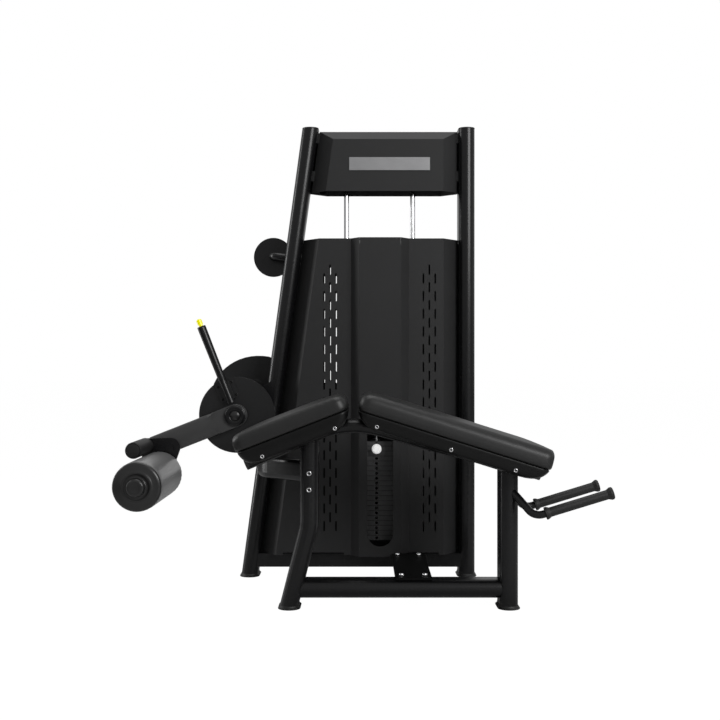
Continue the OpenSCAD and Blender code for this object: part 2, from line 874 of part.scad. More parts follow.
module selector_pin() {
    z = lifted_z + plate_t / 2;
    knob_back = stack_front - 2;
    shank = tower_y - knob_back + pin_tail;
    color("#e4e4e2") place() translate([stem_x, knob_back, z]) rotate([90, 0, 0]) {
        rotate_extrude() polygon([
            [0, 0], [knob_d / 2 - 4, 0], [knob_d / 2, 4], [knob_d / 2, knob_l - 5],
            [knob_d / 2 - 5, knob_l], [0, knob_l]
        ]);
        translate([0, 0, -shank]) cylinder(d = pin_d, h = shank);
    }
}

// Stands children in the pulleys' plane: X along the cable's level run, Z across it
module on_run() {
    translate([cable_x, cable_y, pulley_z]) rotate([0, 0, -run_turn]) rotate([90, 0, 0]) children();
}

pulley_us = [pulley_r, run_l - pulley_r];

module pulley(u) {
    rim = pulley_r + 2;
    groove = pulley_r - cable_d / 2 - 0.3;
    on_run() translate([u, 0, 0]) rotate_extrude() polygon([
        [axle_d / 2 + run_gap, -pulley_w / 2], [rim, -pulley_w / 2], [rim, -pulley_w / 2 + 3],
        [groove, -cable_d / 2 - 0.4], [groove, cable_d / 2 + 0.4], [rim, pulley_w / 2 - 3],
        [rim, pulley_w / 2], [axle_d / 2 + run_gap, pulley_w / 2]
    ]);
}

module left_pulley() {
    color("#202021") place() pulley(pulley_us[0]);
}

module right_pulley() {
    color("#202021") place() pulley(pulley_us[1]);
}

module pulley_axles() {
    l = pulley_w + 2 * cheek_gap + 2 * cheek_t;
    color("#b9babc") place() on_run() for (u = pulley_us) translate([u, 0, -l / 2 - 2]) {
        cylinder(d = axle_d, h = l + 4);
        for (z = [-6, l + 4]) translate([0, 0, z]) cylinder(d = axle_d + 8, h = 6);
    }
}

module pulley_cheeks() {
    low = bridge_z + bridge_h - pulley_z;
    color("#1b1b1c") place() on_run() for (s = [-1, 1])
        translate([0, 0, s * (pulley_w / 2 + cheek_gap + cheek_t / 2)]) difference() {
            translate([pulley_us[0] - 14, low, -cheek_t / 2])
                cube([pulley_us[1] - pulley_us[0] + 28, cheek_h, cheek_t]);
            for (u = pulley_us) translate([u, 0, -cheek_t])
                cylinder(d = axle_d + 2 * weld_gap, h = 2 * cheek_t);
        }
}

module pulley_bridge() {
    color("#1b1b1c") place() difference() {
        translate([left_x, bridge_y, bridge_z]) cube([right_x - left_x, bridge_d, bridge_h]);
        translate([left_x - 1, bridge_y + tube_t, bridge_z + tube_t])
            cube([right_x - left_x + 2, bridge_d - 2 * tube_t, bridge_h - 2 * tube_t]);
        right_upright_shape(weld_gap);
        left_upright_shape(weld_gap);
        translate([left_x - 1, bridge_y - 1, 0])
            cube([left_at(bridge_z) - left_x + 1, bridge_d + 2, big]);
    }
}

// The cable comes up from the cam, over the left pulley, along and down over the right one
quarter = [0 : 15 : 90];
cable_stations = concat(
    [[0, pivot_z - pulley_z, 0, 1]],
    [for (a = quarter) [pulley_r - pulley_r * cos(a), pulley_r * sin(a), a, 1]],
    [for (a = quarter) [run_l - pulley_r + pulley_r * sin(a), pulley_r * cos(a), 90 + a, 1]]
);

module cable_run() {
    color("#3a3a3c") place() translate([cable_x, cable_y, pulley_z]) rotate([0, 0, -run_turn])
        swept_bar(cable_stations, cable_d);
}

module cable_drop() {
    low = head_z + plate_pitch + clevis_h;
    color("#3a3a3c") place() translate([stem_x, tower_y, low]) cylinder(d = cable_d, h = pulley_z - low);
}

// Stands children on the pivot's axis: X right, Y up, Z towards the bench
module on_pivot(y) {
    translate([pivot_x, y, pivot_z]) rotate([90, 0, 0]) children();
}

module at_arm() {
    rotate([0, 0, 180 + arm_down]) children();
}

module bearing_housing() {
    color("#1b1b1c") place() on_pivot(housing_back) difference() {
        cylinder(d = housing_d, h = housing_back - housing_front);
        translate([0, 0, -1])
            cylinder(d = shaft_d + 2 * bush_t + 2 * run_gap, h = housing_back - housing_front + 2);
    }
}

module shaft_bushes() {
    color("#b08d4a") place() for (y = [housing_front + bush_l, housing_back]) on_pivot(y) difference() {
        cylinder(d = shaft_d + 2 * bush_t, h = bush_l);
        translate([0, 0, -1]) cylinder(d = shaft_d + 2 * run_gap, h = bush_l + 2);
    }
}

// Plates that hold the housing to the left upright, front and rear
module housing_gussets() {
    seat = left_at(pivot_z) - pivot_x;
    reach = seat + gusset_lap;
    hub_r = housing_d / 2 + gusset_rim;
    color("#1b1b1c") place() for (y = [gusset_front_y, gusset_rear_y]) on_pivot(y + gusset_t) difference() {
        linear_extrude(gusset_t) {
            circle(hub_r);
            polygon([
                [-hub_r / 3, 0.93 * hub_r], [seat - gusset_neck, 0.8 * gusset_h], [reach, gusset_h],
                [reach - gusset_lap, -0.8 * gusset_h], [seat - gusset_neck, -0.65 * gusset_h], [0, -hub_r]
            ]);
        }
        translate([0, 0, -1]) cylinder(d = housing_d + 2 * weld_gap, h = gusset_t + 2);
    }
}

// Outline of the cam: a spiral that grows clockwise to the full radius and stays there
cam_from = -62;
cam_full = 24;
cam_to = 130;
cam_step = 6;
function cam_radius(a) = a >= cam_full ? cam_r
    : cam_small_r + (cam_r - cam_small_r) * (a - cam_from) / (cam_full - cam_from);
function cam_line(grow, past = 0) = [
    for (a = [cam_from - past : cam_step : cam_to + past]) (cam_radius(a) + grow) * [sin(a), cos(a)]
];

module cam() {
    flange = 4;
    rim = 5;
    floor_line = cam_line(-cable_d / 2 - 0.5, cam_step);
    hub_line = [for (a = [cam_to : cam_step : 360 + cam_from]) 1.5 * shaft_d * [sin(a), cos(a)]];
    color("#1d1d1e") place() on_pivot(cam_y + cam_w) difference() {
        linear_extrude(cam_w) polygon(concat(cam_line(rim), hub_line));
        translate([0, 0, flange]) linear_extrude(cam_w - 2 * flange)
            polygon(concat(cam_line(2 * rim, cam_step), [for (i = [len(floor_line) - 1 : -1 : 0]) floor_line[i]]));
        translate([0, 0, -1]) cylinder(d = shaft_d + 2 * weld_gap, h = cam_w + 2);
        for (a = [-30, 20, 75]) rotate([0, 0, -a]) translate([0, 0.58 * cam_small_r + 20, -1])
            cylinder(d = 44, h = cam_w + 2);
    }
}

// The cable lies in the groove from where it leaves the cam to its anchor
module cable_wrap() {
    color("#3a3a3c") place() on_pivot(cable_y) rotate([0, 0, 90 - cam_to + 2])
        rotate_extrude(angle = cam_to - 94) translate([cam_r, 0]) circle(d = cable_d);
}

module drive_shaft() {
    front = arm_y + 2;
    color("#b9babc") place() on_pivot(shaft_end_y) cylinder(d = shaft_d, h = shaft_end_y - front);
}

module index_plate() {
    color("#6d6e70") place() on_pivot(index_y + disc_t) difference() {
        union() {
            cylinder(d = index_d, h = disc_t);
            translate([0, 0, -(housing_front - index_y - disc_t) + 1])
                cylinder(d = shaft_d + 20, h = housing_front - index_y - disc_t);
        }
        translate([0, 0, -30]) cylinder(d = shaft_d + 2 * weld_gap, h = disc_t + 60);
        for (a = [0 : 10 : 90]) rotate([0, 0, a + 70]) translate([index_d / 2 - 16, 0, -1])
            cylinder(d = 10.5, h = disc_t + 2);
    }
}

module arm_outline(inset) {
    h = arm_h / 2 - inset;
    polygon(concat(
        [[arm_l - 30 - inset, -h], [arm_l - inset, -h / 3], [arm_l - inset, -h / 10], [arm_l - 44, h]],
        [for (a = [90 : 7.5 : 270]) h * [cos(a), sin(a)]]
    ));
}

module arm_tube() {
    color("#1b1b1c") place() on_pivot(arm_y + arm_t) difference() {
        union() {
            at_arm() mirror([0, 1, 0]) linear_extrude(arm_t) arm_outline(0);
            translate([0, 0, arm_t]) cylinder(d = arm_h - 3, h = 6);
            translate([0, 0, arm_y + arm_t - disc_y]) cylinder(d = arm_h - 8, h = disc_y - arm_y - arm_t);
        }
        translate([0, 0, -40]) cylinder(d = shaft_d + 2 * run_gap, h = arm_t + 38);
        at_arm() mirror([0, 1, 0]) translate([0, 0, tube_t]) linear_extrude(arm_t - 2 * tube_t) difference() {
            arm_outline(tube_t);
            circle(d = shaft_d + 24);
        }
        at_arm() translate([arm_l / 2, 0, arm_t / 2]) rotate([-90, 0, 0]) cylinder(d = 8, h = arm_h);
        translate([link_bolt_at[0] - pivot_x, link_bolt_at[1] - pivot_z, -1])
            cylinder(d = bolt_d + 2 * weld_gap, h = arm_t + 2);
    }
}

module arm_disc() {
    color("#1e1e1f") place() on_pivot(disc_y + disc_t) difference() {
        cylinder(d = disc_d, h = disc_t);
        translate([0, 0, -1]) cylinder(d = shaft_d + 2 * run_gap, h = disc_t + 2);
    }
}

module hub_cap() {
    color("#151516") place() on_pivot(arm_y - 6) rotate_extrude() polygon(concat(
        [[0, 0], [18.5, 0]], [for (a = [10 : 10 : 90]) [18.5 * cos(a), 9 * sin(a)]]
    ));
}

module at_lever(y) {
    on_pivot(y) rotate([0, 0, 90 + arm_down]) children();
}

module lever_bracket() {
    middle = lever_start + 12 + bracket_l / 2;
    foot_t = 6;
    color("#1b1b1c") place() at_lever(disc_y) difference() {
        union() {
            translate([middle - bracket_l / 2, -bracket_w / 2, 0]) cube([bracket_l, bracket_w, foot_t]);
            translate([middle - bracket_l / 2, -lever_d / 2 - 5, 0])
                cube([bracket_l, lever_d + 10, disc_y - lever_y]);
        }
        translate([0, 0, disc_y - lever_y]) rotate([0, 90, 0]) cylinder(d = lever_d + 2 * weld_gap, h = big);
    }
}

module release_lever() {
    color("#1b1b1c") place() at_lever(lever_y) rotate([0, 90, 0]) difference() {
        translate([0, 0, lever_start]) cylinder(d = lever_d, h = lever_l - lever_start);
        translate([0, 0, lever_l - 14]) cylinder(d = button_d - 5 + 2 * run_gap, h = 20);
    }
}

module release_button() {
    gap = 7;
    color("#f2e500") place() at_lever(lever_y) rotate([0, 90, 0]) translate([0, 0, lever_l + gap]) {
        rotate_extrude() polygon([
            [0, 0], [button_d / 2, 0], [button_d / 2, button_l - 4], [button_d / 2 - 4, button_l], [0, button_l]
        ]);
        translate([0, 0, -gap - 5]) cylinder(d = button_d - 5, h = gap + 6);
    }
}

module on_link_bolt(y) {
    translate([link_bolt_at[0], y, link_bolt_at[1]]) rotate([90, 0, 0]) children();
}

module link_bolt() {
    color("#9b9c9e") place() on_link_bolt(arm_y + arm_t) {
        cylinder(d = bolt_d, h = arm_t + link_plate_t + 2);
        translate([0, 0, arm_t + link_plate_t + 2]) cylinder(d = bolt_d + 10, h = 6);
        translate([0, 0, -8]) cylinder(d = bolt_d + 10, h = 8);
    }
}

module ankle_link() {
    ends = [[peg_at, 26], [link_bolt_at, 34], [roller_at, 36]];
    color("#1b1b1c") place() difference() {
        union() {
            translate([0, link_plate_y + link_plate_t, 0]) rotate([90, 0, 0]) linear_extrude(link_plate_t) {
                for (e = ends) translate(e[0]) circle(e[1]);
                polygon([for (e = ends) e[0]]);
                for (i = [0 : 2]) link_web(ends[i], ends[(i + 1) % 3]);
            }
            translate([peg_at[0], link_plate_y + eps, peg_at[1]]) rotate([90, 0, 0])
                cylinder(d = peg_d, h = link_plate_y - peg_front + 1);
            translate([peg_at[0], peg_front, peg_at[1]]) rotate([90, 0, 0]) cylinder(d = peg_end_d, h = 14);
        }
        on_link_bolt(arm_y) translate([0, 0, -1]) cylinder(d = bolt_d + 2 * run_gap, h = link_plate_t + 4);
        on_roller(arm_y) translate([0, 0, -1]) cylinder(d = roller_axle_d + 2 * weld_gap, h = link_plate_t + 4);
    }
}

// Straight edge band between two round ends
module link_web(a, b) {
    v = (b[0] - a[0]) / norm(b[0] - a[0]);
    n = [-v[1], v[0]];
    polygon([a[0] + a[1] * n, b[0] + b[1] * n, b[0] - b[1] * n, a[0] - a[1] * n]);
}

module on_roller(y) {
    translate([roller_at[0], y, roller_at[1]]) rotate([90, 0, 0]) children();
}

module roller_axle() {
    color("#b9babc") place() on_roller(link_plate_y + link_plate_t)
        cylinder(d = roller_axle_d, h = link_plate_y + link_plate_t - roller_front + cap_l);
}

core_d = roller_axle_d + 22;

module roller_core() {
    color("#3a3a3a") place() on_roller(roller_back) difference() {
        cylinder(d = core_d, h = roller_l);
        translate([0, 0, -1]) cylinder(d = roller_axle_d + 2 * run_gap, h = roller_l + 2);
    }
}

module roller_sleeve() {
    round_r = 10;
    r = roller_d / 2;
    bore = core_d / 2 + weld_gap;
    color("#3d3d3e") place() on_roller(roller_back) rotate_extrude() difference() {
        union() {
            translate([bore, round_r]) square([r - bore, roller_l - 2 * round_r]);
            translate([bore, 0]) square([r - bore - round_r, roller_l]);
            for (z = [round_r, roller_l - round_r]) translate([r - round_r, z]) circle(round_r);
        }
    }
}

module roller_cap(nose) {
    r = roller_d / 2 - 8;
    bore = roller_axle_d / 2 + run_gap;
    rotate_extrude() polygon([
        [bore, 0], [r, 0], [r - 2, 7], [r - 14, cap_l - 2], [46, cap_l - 5], [43, cap_l],
        [30, cap_l + nose / 3], [28, cap_l + nose * 0.8], [22, cap_l + nose],
        [nose > 5 ? 0 : bore, cap_l + nose], [nose > 5 ? 0 : bore, cap_l + 1], [bore, cap_l + 1]
    ]);
}

module roller_caps() {
    color("#141415") place() {
        on_roller(roller_front) roller_cap(nose_l);
        translate([roller_at[0], roller_back, roller_at[1]]) rotate([-90, 0, 0]) difference() {
            cylinder(d = roller_d - 20, h = rear_cap_l);
            translate([0, 0, -1]) cylinder(d = roller_axle_d + 2 * run_gap, h = rear_cap_l + 2);
        }
    }
}

module bench_spine() {
    color("#1b1b1c") place() on_spine()
        bent_tube(thigh_l, torso_l, thigh_slope + torso_slope, spine_r, spine_h, spine_d);
}

// Rounded plugs that close the spine's ends
module spine_plugs() {
    color("#101011") place() on_spine() for (end = [0, 1])
        rotate([0, end * (thigh_slope + torso_slope), 0])
            translate([0, 0, end == 1 ? torso_l : -thigh_l - plug_l]) linear_extrude(plug_l) oval(spine_h, spine_d);
}

module bench_right_post() {
    color("#1b1b1c") place() difference() {
        above(foot_h) translate([post_right_x, 0, 0])
            linear_extrude(right_post_top) oval_ring(tube_w, tube_d, tube_t);
        torso_leg(weld_gap);
    }
}

module bench_left_post() {
    color("#1b1b1c") place() difference() {
        left_post_at() bent_tube(
            (post_bend_z - foot_h) / cos(post_slope), left_post_top - post_bend_z,
            post_slope, post_r, tube_w, tube_d, post_slope
        );
        thigh_leg(weld_gap);
    }
}

module bench_base_tube() {
    left = post_left_x - (post_bend_z - base_z) * tan(post_slope);
    color("#1b1b1c") place() difference() {
        translate([left, 0, base_z]) rotate([0, 90, 0])
            linear_extrude(post_right_x - left) oval_ring(tube_w, base_d, tube_t);
        right_post_shape(weld_gap);
        left_post_lower(weld_gap);
    }
}

module link_tube() {
    start = (post_left_x - link_x) * sqrt(2);
    color("#1b1b1c") place() difference() {
        translate([link_x, link_run_y, link_z]) rotate([-90, 0, 0]) rotate([0, -45, 0])
            bent_tube(start, link_end_y - link_run_y, 45, 120, link_t, link_h);
        left_post_upper(weld_gap);
        left_upright_shape(weld_gap);
    }
}

connector_ys = [4, connector_back - 34];

module connector_plate() {
    r = 24;
    run = connector_back - connector_front;
    color("#1f1f20") place() translate([connector_x, 0, base_top]) difference() {
        linear_extrude(connector_t) difference() {
            union() {
                translate([-connector_w / 2, connector_front]) square([connector_w, run - r]);
                translate([-connector_w / 2 + r, connector_front]) square([connector_w - 2 * r, run]);
                for (s = [-1, 1]) translate([s * (connector_w / 2 - r), connector_back - r]) circle(r);
            }
            for (s = [-1, 1], y = connector_ys) translate([s * connector_bolts / 2, y]) circle(d = 11);
        }
    }
}

module frame_bolts() {
    color("#c9cacc") place() {
        for (s = [-1, 1], y = connector_ys)
            translate([connector_x + s * connector_bolts / 2, y, base_top + connector_t])
                cylinder(d = bolt_head_d, h = bolt_head_h);
        for (z = [link_z + 4, link_z - 49])
            translate([post_left_x, -tube_d / 2, z]) rotate([90, 0, 0]) cylinder(d = bolt_head_d, h = bolt_head_h);
    }
}

// Closed solid through level outlines; each layer is [height, left, right, half width, corner radius]
corner_n = 9;
function outline(layer) = let(r = layer[4]) [
    for (q = [0 : 3], i = [0 : corner_n - 1]) let(
        a = 90 * q + 90 * i / (corner_n - 1),
        x = (q == 0 || q == 3) ? layer[2] - r : layer[1] + r,
        y = (q < 2) ? layer[3] - r : -layer[3] + r
    ) [x + r * cos(a), y + r * sin(a), layer[0]]
];

module stacked(layers) {
    n = 4 * corner_n;
    last = len(layers) - 1;
    points = [for (l = layers) each outline(l)];
    sides = [
        for (k = [0 : last - 1], i = [0 : n - 1]) let(j = (i + 1) % n)
            each [[k * n + i, (k + 1) * n + i, k * n + j], [k * n + j, (k + 1) * n + i, (k + 1) * n + j]]
    ];
    polyhedron(concat(points, [
        [(layers[0][1] + layers[0][2]) / 2, 0, layers[0][0]],
        [(layers[last][1] + layers[last][2]) / 2, 0, layers[last][0]]
    ]), concat(sides,
        [for (i = [0 : n - 1]) [i, (i + 1) % n, len(points)]],
        [for (i = [0 : n - 1]) [last * n + i, len(points) + 1, last * n + (i + 1) % n]]
    ));
}

// Cushion: tucked sides below, a rounded shoulder and a crown above
function cushion_layers(l, shoulder) = let(h = pad_h, w = pad_w / 2, r = pad_corner) concat(
    [
        [0, pad_tuck, l - pad_tuck, w - pad_tuck, r - pad_tuck / 2],
        [5, 2, l - 2, w - 2, r],
        [10, 0, l, w, r],
        [h - shoulder, 1, l - 1, w - 1, r]
    ],
    [for (a = [18 : 18 : 72]) let(s = shoulder * (1 - cos(a)) + 1)
        [h - shoulder + shoulder * sin(a), s, l - s, w - s, r]],
    [for (k = [1 : 5]) let(s = shoulder + 1 + (w - shoulder - 26) * k / 5)
        [h + pad_crown * sin(90 * k / 5), s, l - s, w - s, max(r - 2 * k, 20)]]
);

module on_thigh() {
    translate([thigh_at[0], 0, thigh_at[1]]) rotate([0, -thigh_pad_slope, 0]) children();
}

module on_torso() {
    translate([torso_at[0], 0, torso_at[1]]) rotate([0, torso_pad_slope, 0]) children();
}

module thigh_cushion() {
    color("#151516") place() on_thigh() stacked(cushion_layers(thigh_pad_l, 16));
}

module torso_cushion() {
    color("#151516") place() on_torso() stacked(cushion_layers(torso_pad_l, 20));
}

// Moulded shell under a cushion: full width at the seam, drawn in to a skirt over the spine
function shell_layers(l, drop, bow, stern) = let(
    w = pad_w / 2 - pad_tuck - 2,
    skirt = spine_d / 2 + 8
) [
    for (k = [0 : 6]) let(t = 1 - k / 6, e = pow(t, 1.6))
        [-drop * t - seat_gap, pad_tuck + 2 + bow * e, l - pad_tuck - 2 - stern * e,
            skirt + (w - skirt) * (1 - pow(t, 0.6)), max(pad_corner - 8, 22)]
];

// Channel that a shell's skirt straddles: the spine's side view, as wide as its tube
module spine_channel() {
    h = spine_h / 2 + seat_gap;
    turn = thigh_slope + torso_slope;
    tangent = spine_r * tan(turn / 2);
    along = [cos(thigh_slope), sin(thigh_slope)];
    centre = [spine_x, spine_z] - tangent * along + spine_r * [along[1], -along[0]];
    left_end = centre + (thigh_l + 60) * -along;
    right_end = centre + (torso_l + 60) * [cos(torso_slope), -sin(torso_slope)];
    function rim(r, a) = centre + r * [cos(a), sin(a)];
    bends = [for (i = [0 : 8]) 90 + thigh_slope - turn * i / 8];
    rotate([90, 0, 0]) linear_extrude(spine_d + 2 * seat_gap, center = true) polygon(concat(
        [left_end + (spine_r + h) * [-along[1], along[0]]],
        [for (a = bends) rim(spine_r + h, a)],
        [right_end + (spine_r + h) * [sin(torso_slope), cos(torso_slope)]],
        [right_end + (spine_r - h) * [sin(torso_slope), cos(torso_slope)]],
        [for (i = [8 : -1 : 0]) rim(spine_r - h, bends[i])],
        [left_end + (spine_r - h) * [-along[1], along[0]]]
    ));
}

module thigh_shell() {
    color("#19191a") place() difference() {
        on_thigh() stacked(shell_layers(thigh_pad_l, 62, 26, 40));
        spine_channel();
        left_post_upper(seat_gap);
    }
}

module torso_shell() {
    color("#19191a") place() difference() {
        on_torso() stacked(shell_layers(torso_pad_l, 66, 44, 40));
        spine_channel();
        right_post_shape(seat_gap);
    }
}

grip_dir = [cos(grip_rise), 0, sin(grip_rise)];

// Each bar leaves the post, bends once and carries its grip
module handle_bar(side) {
    root = [handle_root[0], side * handle_root[1], handle_root[2]];
    bend = [grip_at[0], side * grip_y, grip_at[1]] - handle_lead * grip_dir;
    first = (bend - root) / norm(bend - root);
    turn = acos(first * grip_dir);
    across = (grip_dir - cos(turn) * first) / sin(turn);
    third = cross(first, across);
    multmatrix([for (i = [0 : 2]) [across[i], third[i], first[i], bend[i]]])
        swept_bar(bend_stations(norm(bend - root), handle_lead + grip_l - 8, turn, handle_r, 0), handle_d);
}

module handle_bars() {
    color("#1b1b1c") place() difference() {
        for (side = [-1, 1]) handle_bar(side);
        right_post_shape(weld_gap);
    }
}

module hand_grips() {
    bore = handle_d / 2 + weld_gap;
    r = grip_d / 2;
    flare = grip_flare / 2;
    color("#101011") place() for (s = [-1, 1])
        translate([grip_at[0], s * grip_y, grip_at[1]]) rotate([0, 90 - grip_rise, 0]) rotate_extrude() polygon([
            [bore, 0], [flare, 0], [flare, 6], [r, 16], [r, grip_l - 20], [flare, grip_l - 9],
            [flare, grip_l - 3], [flare - 3, grip_l], [0, grip_l], [0, grip_l - 7], [bore, grip_l - 7]
        ]);
}

module storage_hook() {
    out = 82;
    back = tube_d / 2 + 14;
    from_side = tube_w / 2 + weld_gap;
    color("#161617") place() translate([left_at(hook_z), tower_y, hook_z]) rotate([0, lean, 0])
        translate([-out, 0, 0]) {
            rotate([0, -90, 0]) rotate([0, 0, 90])
                bent(out - from_side, back, 90, 30) circle(d = hook_d);
            translate([0, back, 0]) rotate([-90, 0, 0]) cylinder(d = hook_disc_d, h = 10);
        }
}

tower_right_upright();
tower_left_upright();
tower_base_beam();
header_crossbars();
floor_feet();
header_cover();
badge_plate();
front_shroud();
shroud_window_panel();
rear_cover();
guide_rods();
rod_collars();
stack_bumpers();
weight_plates();
head_plate();
lifted_plate();
selector_stem();
cable_clevis();
selector_pin();
pulley_bridge();
pulley_cheeks();
pulley_axles();
left_pulley();
right_pulley();
cable_run();
cable_drop();
cable_wrap();
bearing_housing();
shaft_bushes();
housing_gussets();
cam();
drive_shaft();
index_plate();
arm_tube();
arm_disc();
hub_cap();
lever_bracket();
release_lever();
release_button();
link_bolt();
ankle_link();
roller_axle();
roller_core();
roller_sleeve();
roller_caps();
bench_spine();
spine_plugs();
bench_right_post();
bench_left_post();
bench_base_tube();
link_tube();
connector_plate();
frame_bolts();
thigh_cushion();
thigh_shell();
torso_cushion();
torso_shell();
handle_bars();
hand_grips();
storage_hook();
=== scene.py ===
"""Looks of a prone leg curl machine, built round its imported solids.

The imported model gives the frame: tubes, covers, plates and joints. This script adds the soft
and small pieces, each worked out as a numpy grid, and gives every surface a node material.
Sizes are millimetres in the machine's own frame (X along the bench, Y back to the tower,
Z up from the floor, Y = 0 at the bench's middle plane) and are moved to the row frame at the end.
"""

from __future__ import annotations

import logging
import math
from dataclasses import dataclass
from enum import Enum
from typing import Any, Callable, Sequence

import bmesh
import bpy
import numpy as np
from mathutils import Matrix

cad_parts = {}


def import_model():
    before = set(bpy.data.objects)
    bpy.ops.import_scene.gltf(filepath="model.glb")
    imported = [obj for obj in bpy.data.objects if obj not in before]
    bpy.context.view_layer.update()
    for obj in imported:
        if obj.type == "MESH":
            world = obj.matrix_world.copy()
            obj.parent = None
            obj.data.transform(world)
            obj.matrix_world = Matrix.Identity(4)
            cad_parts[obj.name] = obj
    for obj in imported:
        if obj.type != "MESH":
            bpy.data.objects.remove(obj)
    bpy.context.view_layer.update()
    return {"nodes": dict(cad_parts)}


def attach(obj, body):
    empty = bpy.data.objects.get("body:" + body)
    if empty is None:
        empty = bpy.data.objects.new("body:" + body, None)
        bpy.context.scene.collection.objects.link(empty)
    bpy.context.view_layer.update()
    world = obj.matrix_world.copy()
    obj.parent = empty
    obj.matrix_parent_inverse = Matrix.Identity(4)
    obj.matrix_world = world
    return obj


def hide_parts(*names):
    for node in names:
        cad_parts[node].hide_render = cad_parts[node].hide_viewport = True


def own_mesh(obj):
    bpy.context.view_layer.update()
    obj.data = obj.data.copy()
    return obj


LOG = logging.getLogger("leg_curl")
Array = np.ndarray
Pair = tuple[float, float]
Triple = tuple[float, float, float]
Spots = Array | Sequence[Triple]
Grid = tuple[Array, ...]
MM = 0.001
ORIGIN_MM = np.array([20.19, 212.0, 0.0])

FRONT: Triple = (0.0, -1.0, 0.0)
BACK: Triple = (0.0, 1.0, 0.0)
UP: Triple = (0.0, 0.0, 1.0)
WHITE = (1.0, 1.0, 1.0, 1.0)
BLACK = (0.0, 0.0, 0.0, 1.0)

# The arm's hub and the roller's axis, in X and Z, and the lever's angle from X in degrees.
ARM_PIVOT: Pair = (-435.0, 616.0)
ROLLER_AXIS: Pair = (-694.36, 414.95)
LEVER_TURN = 111.5

# The cable: where it rises from the cam and drops to the stack, in X and Y, and its measures.
CAM_SIDE: Pair = (-215.0, 640.0)
STACK_SIDE: Pair = (62.0, 555.0)
CABLE_TOP = 1235.0
CLEVIS_TOP = 533.0
STACK_TRAVEL = 430.0
CABLE_RADIUS = 3.0
CABLE_SIDES = 16


class Body(Enum):
    """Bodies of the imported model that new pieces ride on."""

    FRAME = "frame"
    CAM = "cam"
    ARM = "arm"
    ANKLE = "ankle"
    ROLLER = "roller"


class Grain(Enum):
    """Kinds of fine relief that a finish can have."""

    PEEL = "orange peel of powder coat"
    SAND = "fine sand texture of a coated sheet"
    HIDE = "creased cells of a leather cover"
    BRUSH = "long brush lines along X"
    DRAWN = "long lines along Z of a drawn rod"
    CAST = "soft lumps of painted cast iron"
    MOULD = "faint even stipple of moulded plastic"
    STRAND = "slanting strands of wire rope"


def operator(operation: str) -> Callable[..., Sock]:
    """Makes a method of Sock that adds one Math node.

    Args:
        operation: Name of the Math operation.

    Returns:
        The method.
    """

    def method(self: Sock, other: Any = 0.0) -> Sock:
        """Joins the value with another, a Sock or a number."""
        node = self.graph.add("ShaderNodeMath", {"operation": operation}, {0: self, 1: other})
        return Sock(self.graph, node.outputs[0])

    return method


class Sock:
    """A shader value whose operators add Math nodes."""

    __add__ = operator("ADD")
    __sub__ = operator("SUBTRACT")
    __mul__ = operator("MULTIPLY")
    __pow__ = operator("POWER")
    fract = operator("FRACT")
    size = operator("ABSOLUTE")
    above = operator("GREATER_THAN")

    def __init__(self, graph: Graph, socket: Any) -> None:
        """Keeps the graph and the output socket."""
        self.graph = graph
        self.socket = socket


class Graph:
    """Node tree of one material or of the world."""

    def __init__(self, owner: bpy.types.Material | bpy.types.World) -> None:
        """Keeps the owner's tree and empties it."""
        owner.use_nodes = True
        self.tree = owner.node_tree
        self.tree.nodes.clear()

    def add(self, kind: str, settings: dict[str, Any], sockets: dict[Any, Any]) -> bpy.types.Node:
        """Adds any node.

        Args:
            kind: The node's type name.
            settings: Properties set before the sockets.
            sockets: Values or links by input name or number.

        Returns:
            The new node.
        """
        node = self.tree.nodes.new(kind)
        for key, value in settings.items():
            setattr(node, key, value)
        for key, value in sockets.items():
            if isinstance(value, Sock):
                self.tree.links.new(value.socket, node.inputs[key])
            else:
                node.inputs[key].default_value = value
        return node

    def value(self, kind: str, settings: dict[str, Any], sockets: dict[Any, Any], output: Any = 0) -> Sock:
        """Adds a node and gives one of its outputs."""
        return Sock(self, self.add(kind, settings, sockets).outputs[output])

    def coordinate(self, axis: int) -> Sock:
        """Object coordinate along one axis."""
        spot = self.value("ShaderNodeTexCoord", {}, {}, "Object")
        return self.value("ShaderNodeSeparateXYZ", {}, {0: spot}, axis)

    def place(self, stretch: Triple = (1.0, 1.0, 1.0)) -> Sock:
        """Object coordinates, scaled along each axis."""
        spot = self.value("ShaderNodeTexCoord", {}, {}, "Object")
        return self.value("ShaderNodeMapping", {}, {"Vector": spot, "Scale": stretch})

    def noise(self, vector: Sock, scale: float, detail: float = 2.0) -> Sock:
        """Smooth noise from about 0 to 1; scale counts cells in a metre."""
        return self.value("ShaderNodeTexNoise", {}, {"Vector": vector, "Scale": scale, "Detail": detail})

    def blend(self, factor: Sock, low: Any, high: Any) -> Sock:
        """Mixes two colours."""
        return self.value("ShaderNodeMix", {"data_type": "RGBA"}, {0: factor, 6: low, 7: high}, 2)

    def bump(self, height: Sock, depth: float, strength: float) -> Sock:
        """Normal from a height of 0 to 1 that stands for a depth in metres."""
        sockets = {"Height": height, "Distance": depth, "Strength": strength}
        return self.value("ShaderNodeBump", {}, sockets, "Normal")

    def show(self, kind: str, sockets: dict[Any, Any], output: str = "ShaderNodeOutputMaterial") -> None:
        """Adds a shader and leads it to the output.

        Args:
            kind: The shader's type name.
            sockets: Its values or links.
            output: Type name of the output.
        """
        self.add(output, {}, {"Surface": self.value(kind, {}, sockets)})


def peel_height(graph: Graph, scale: float) -> Sock:
    """Height of powder coat: two sizes of smooth noise added."""
    spot = graph.place()
    return graph.noise(spot, scale) * 0.7 + graph.noise(spot, 3.1 * scale, 0.0) * 0.3


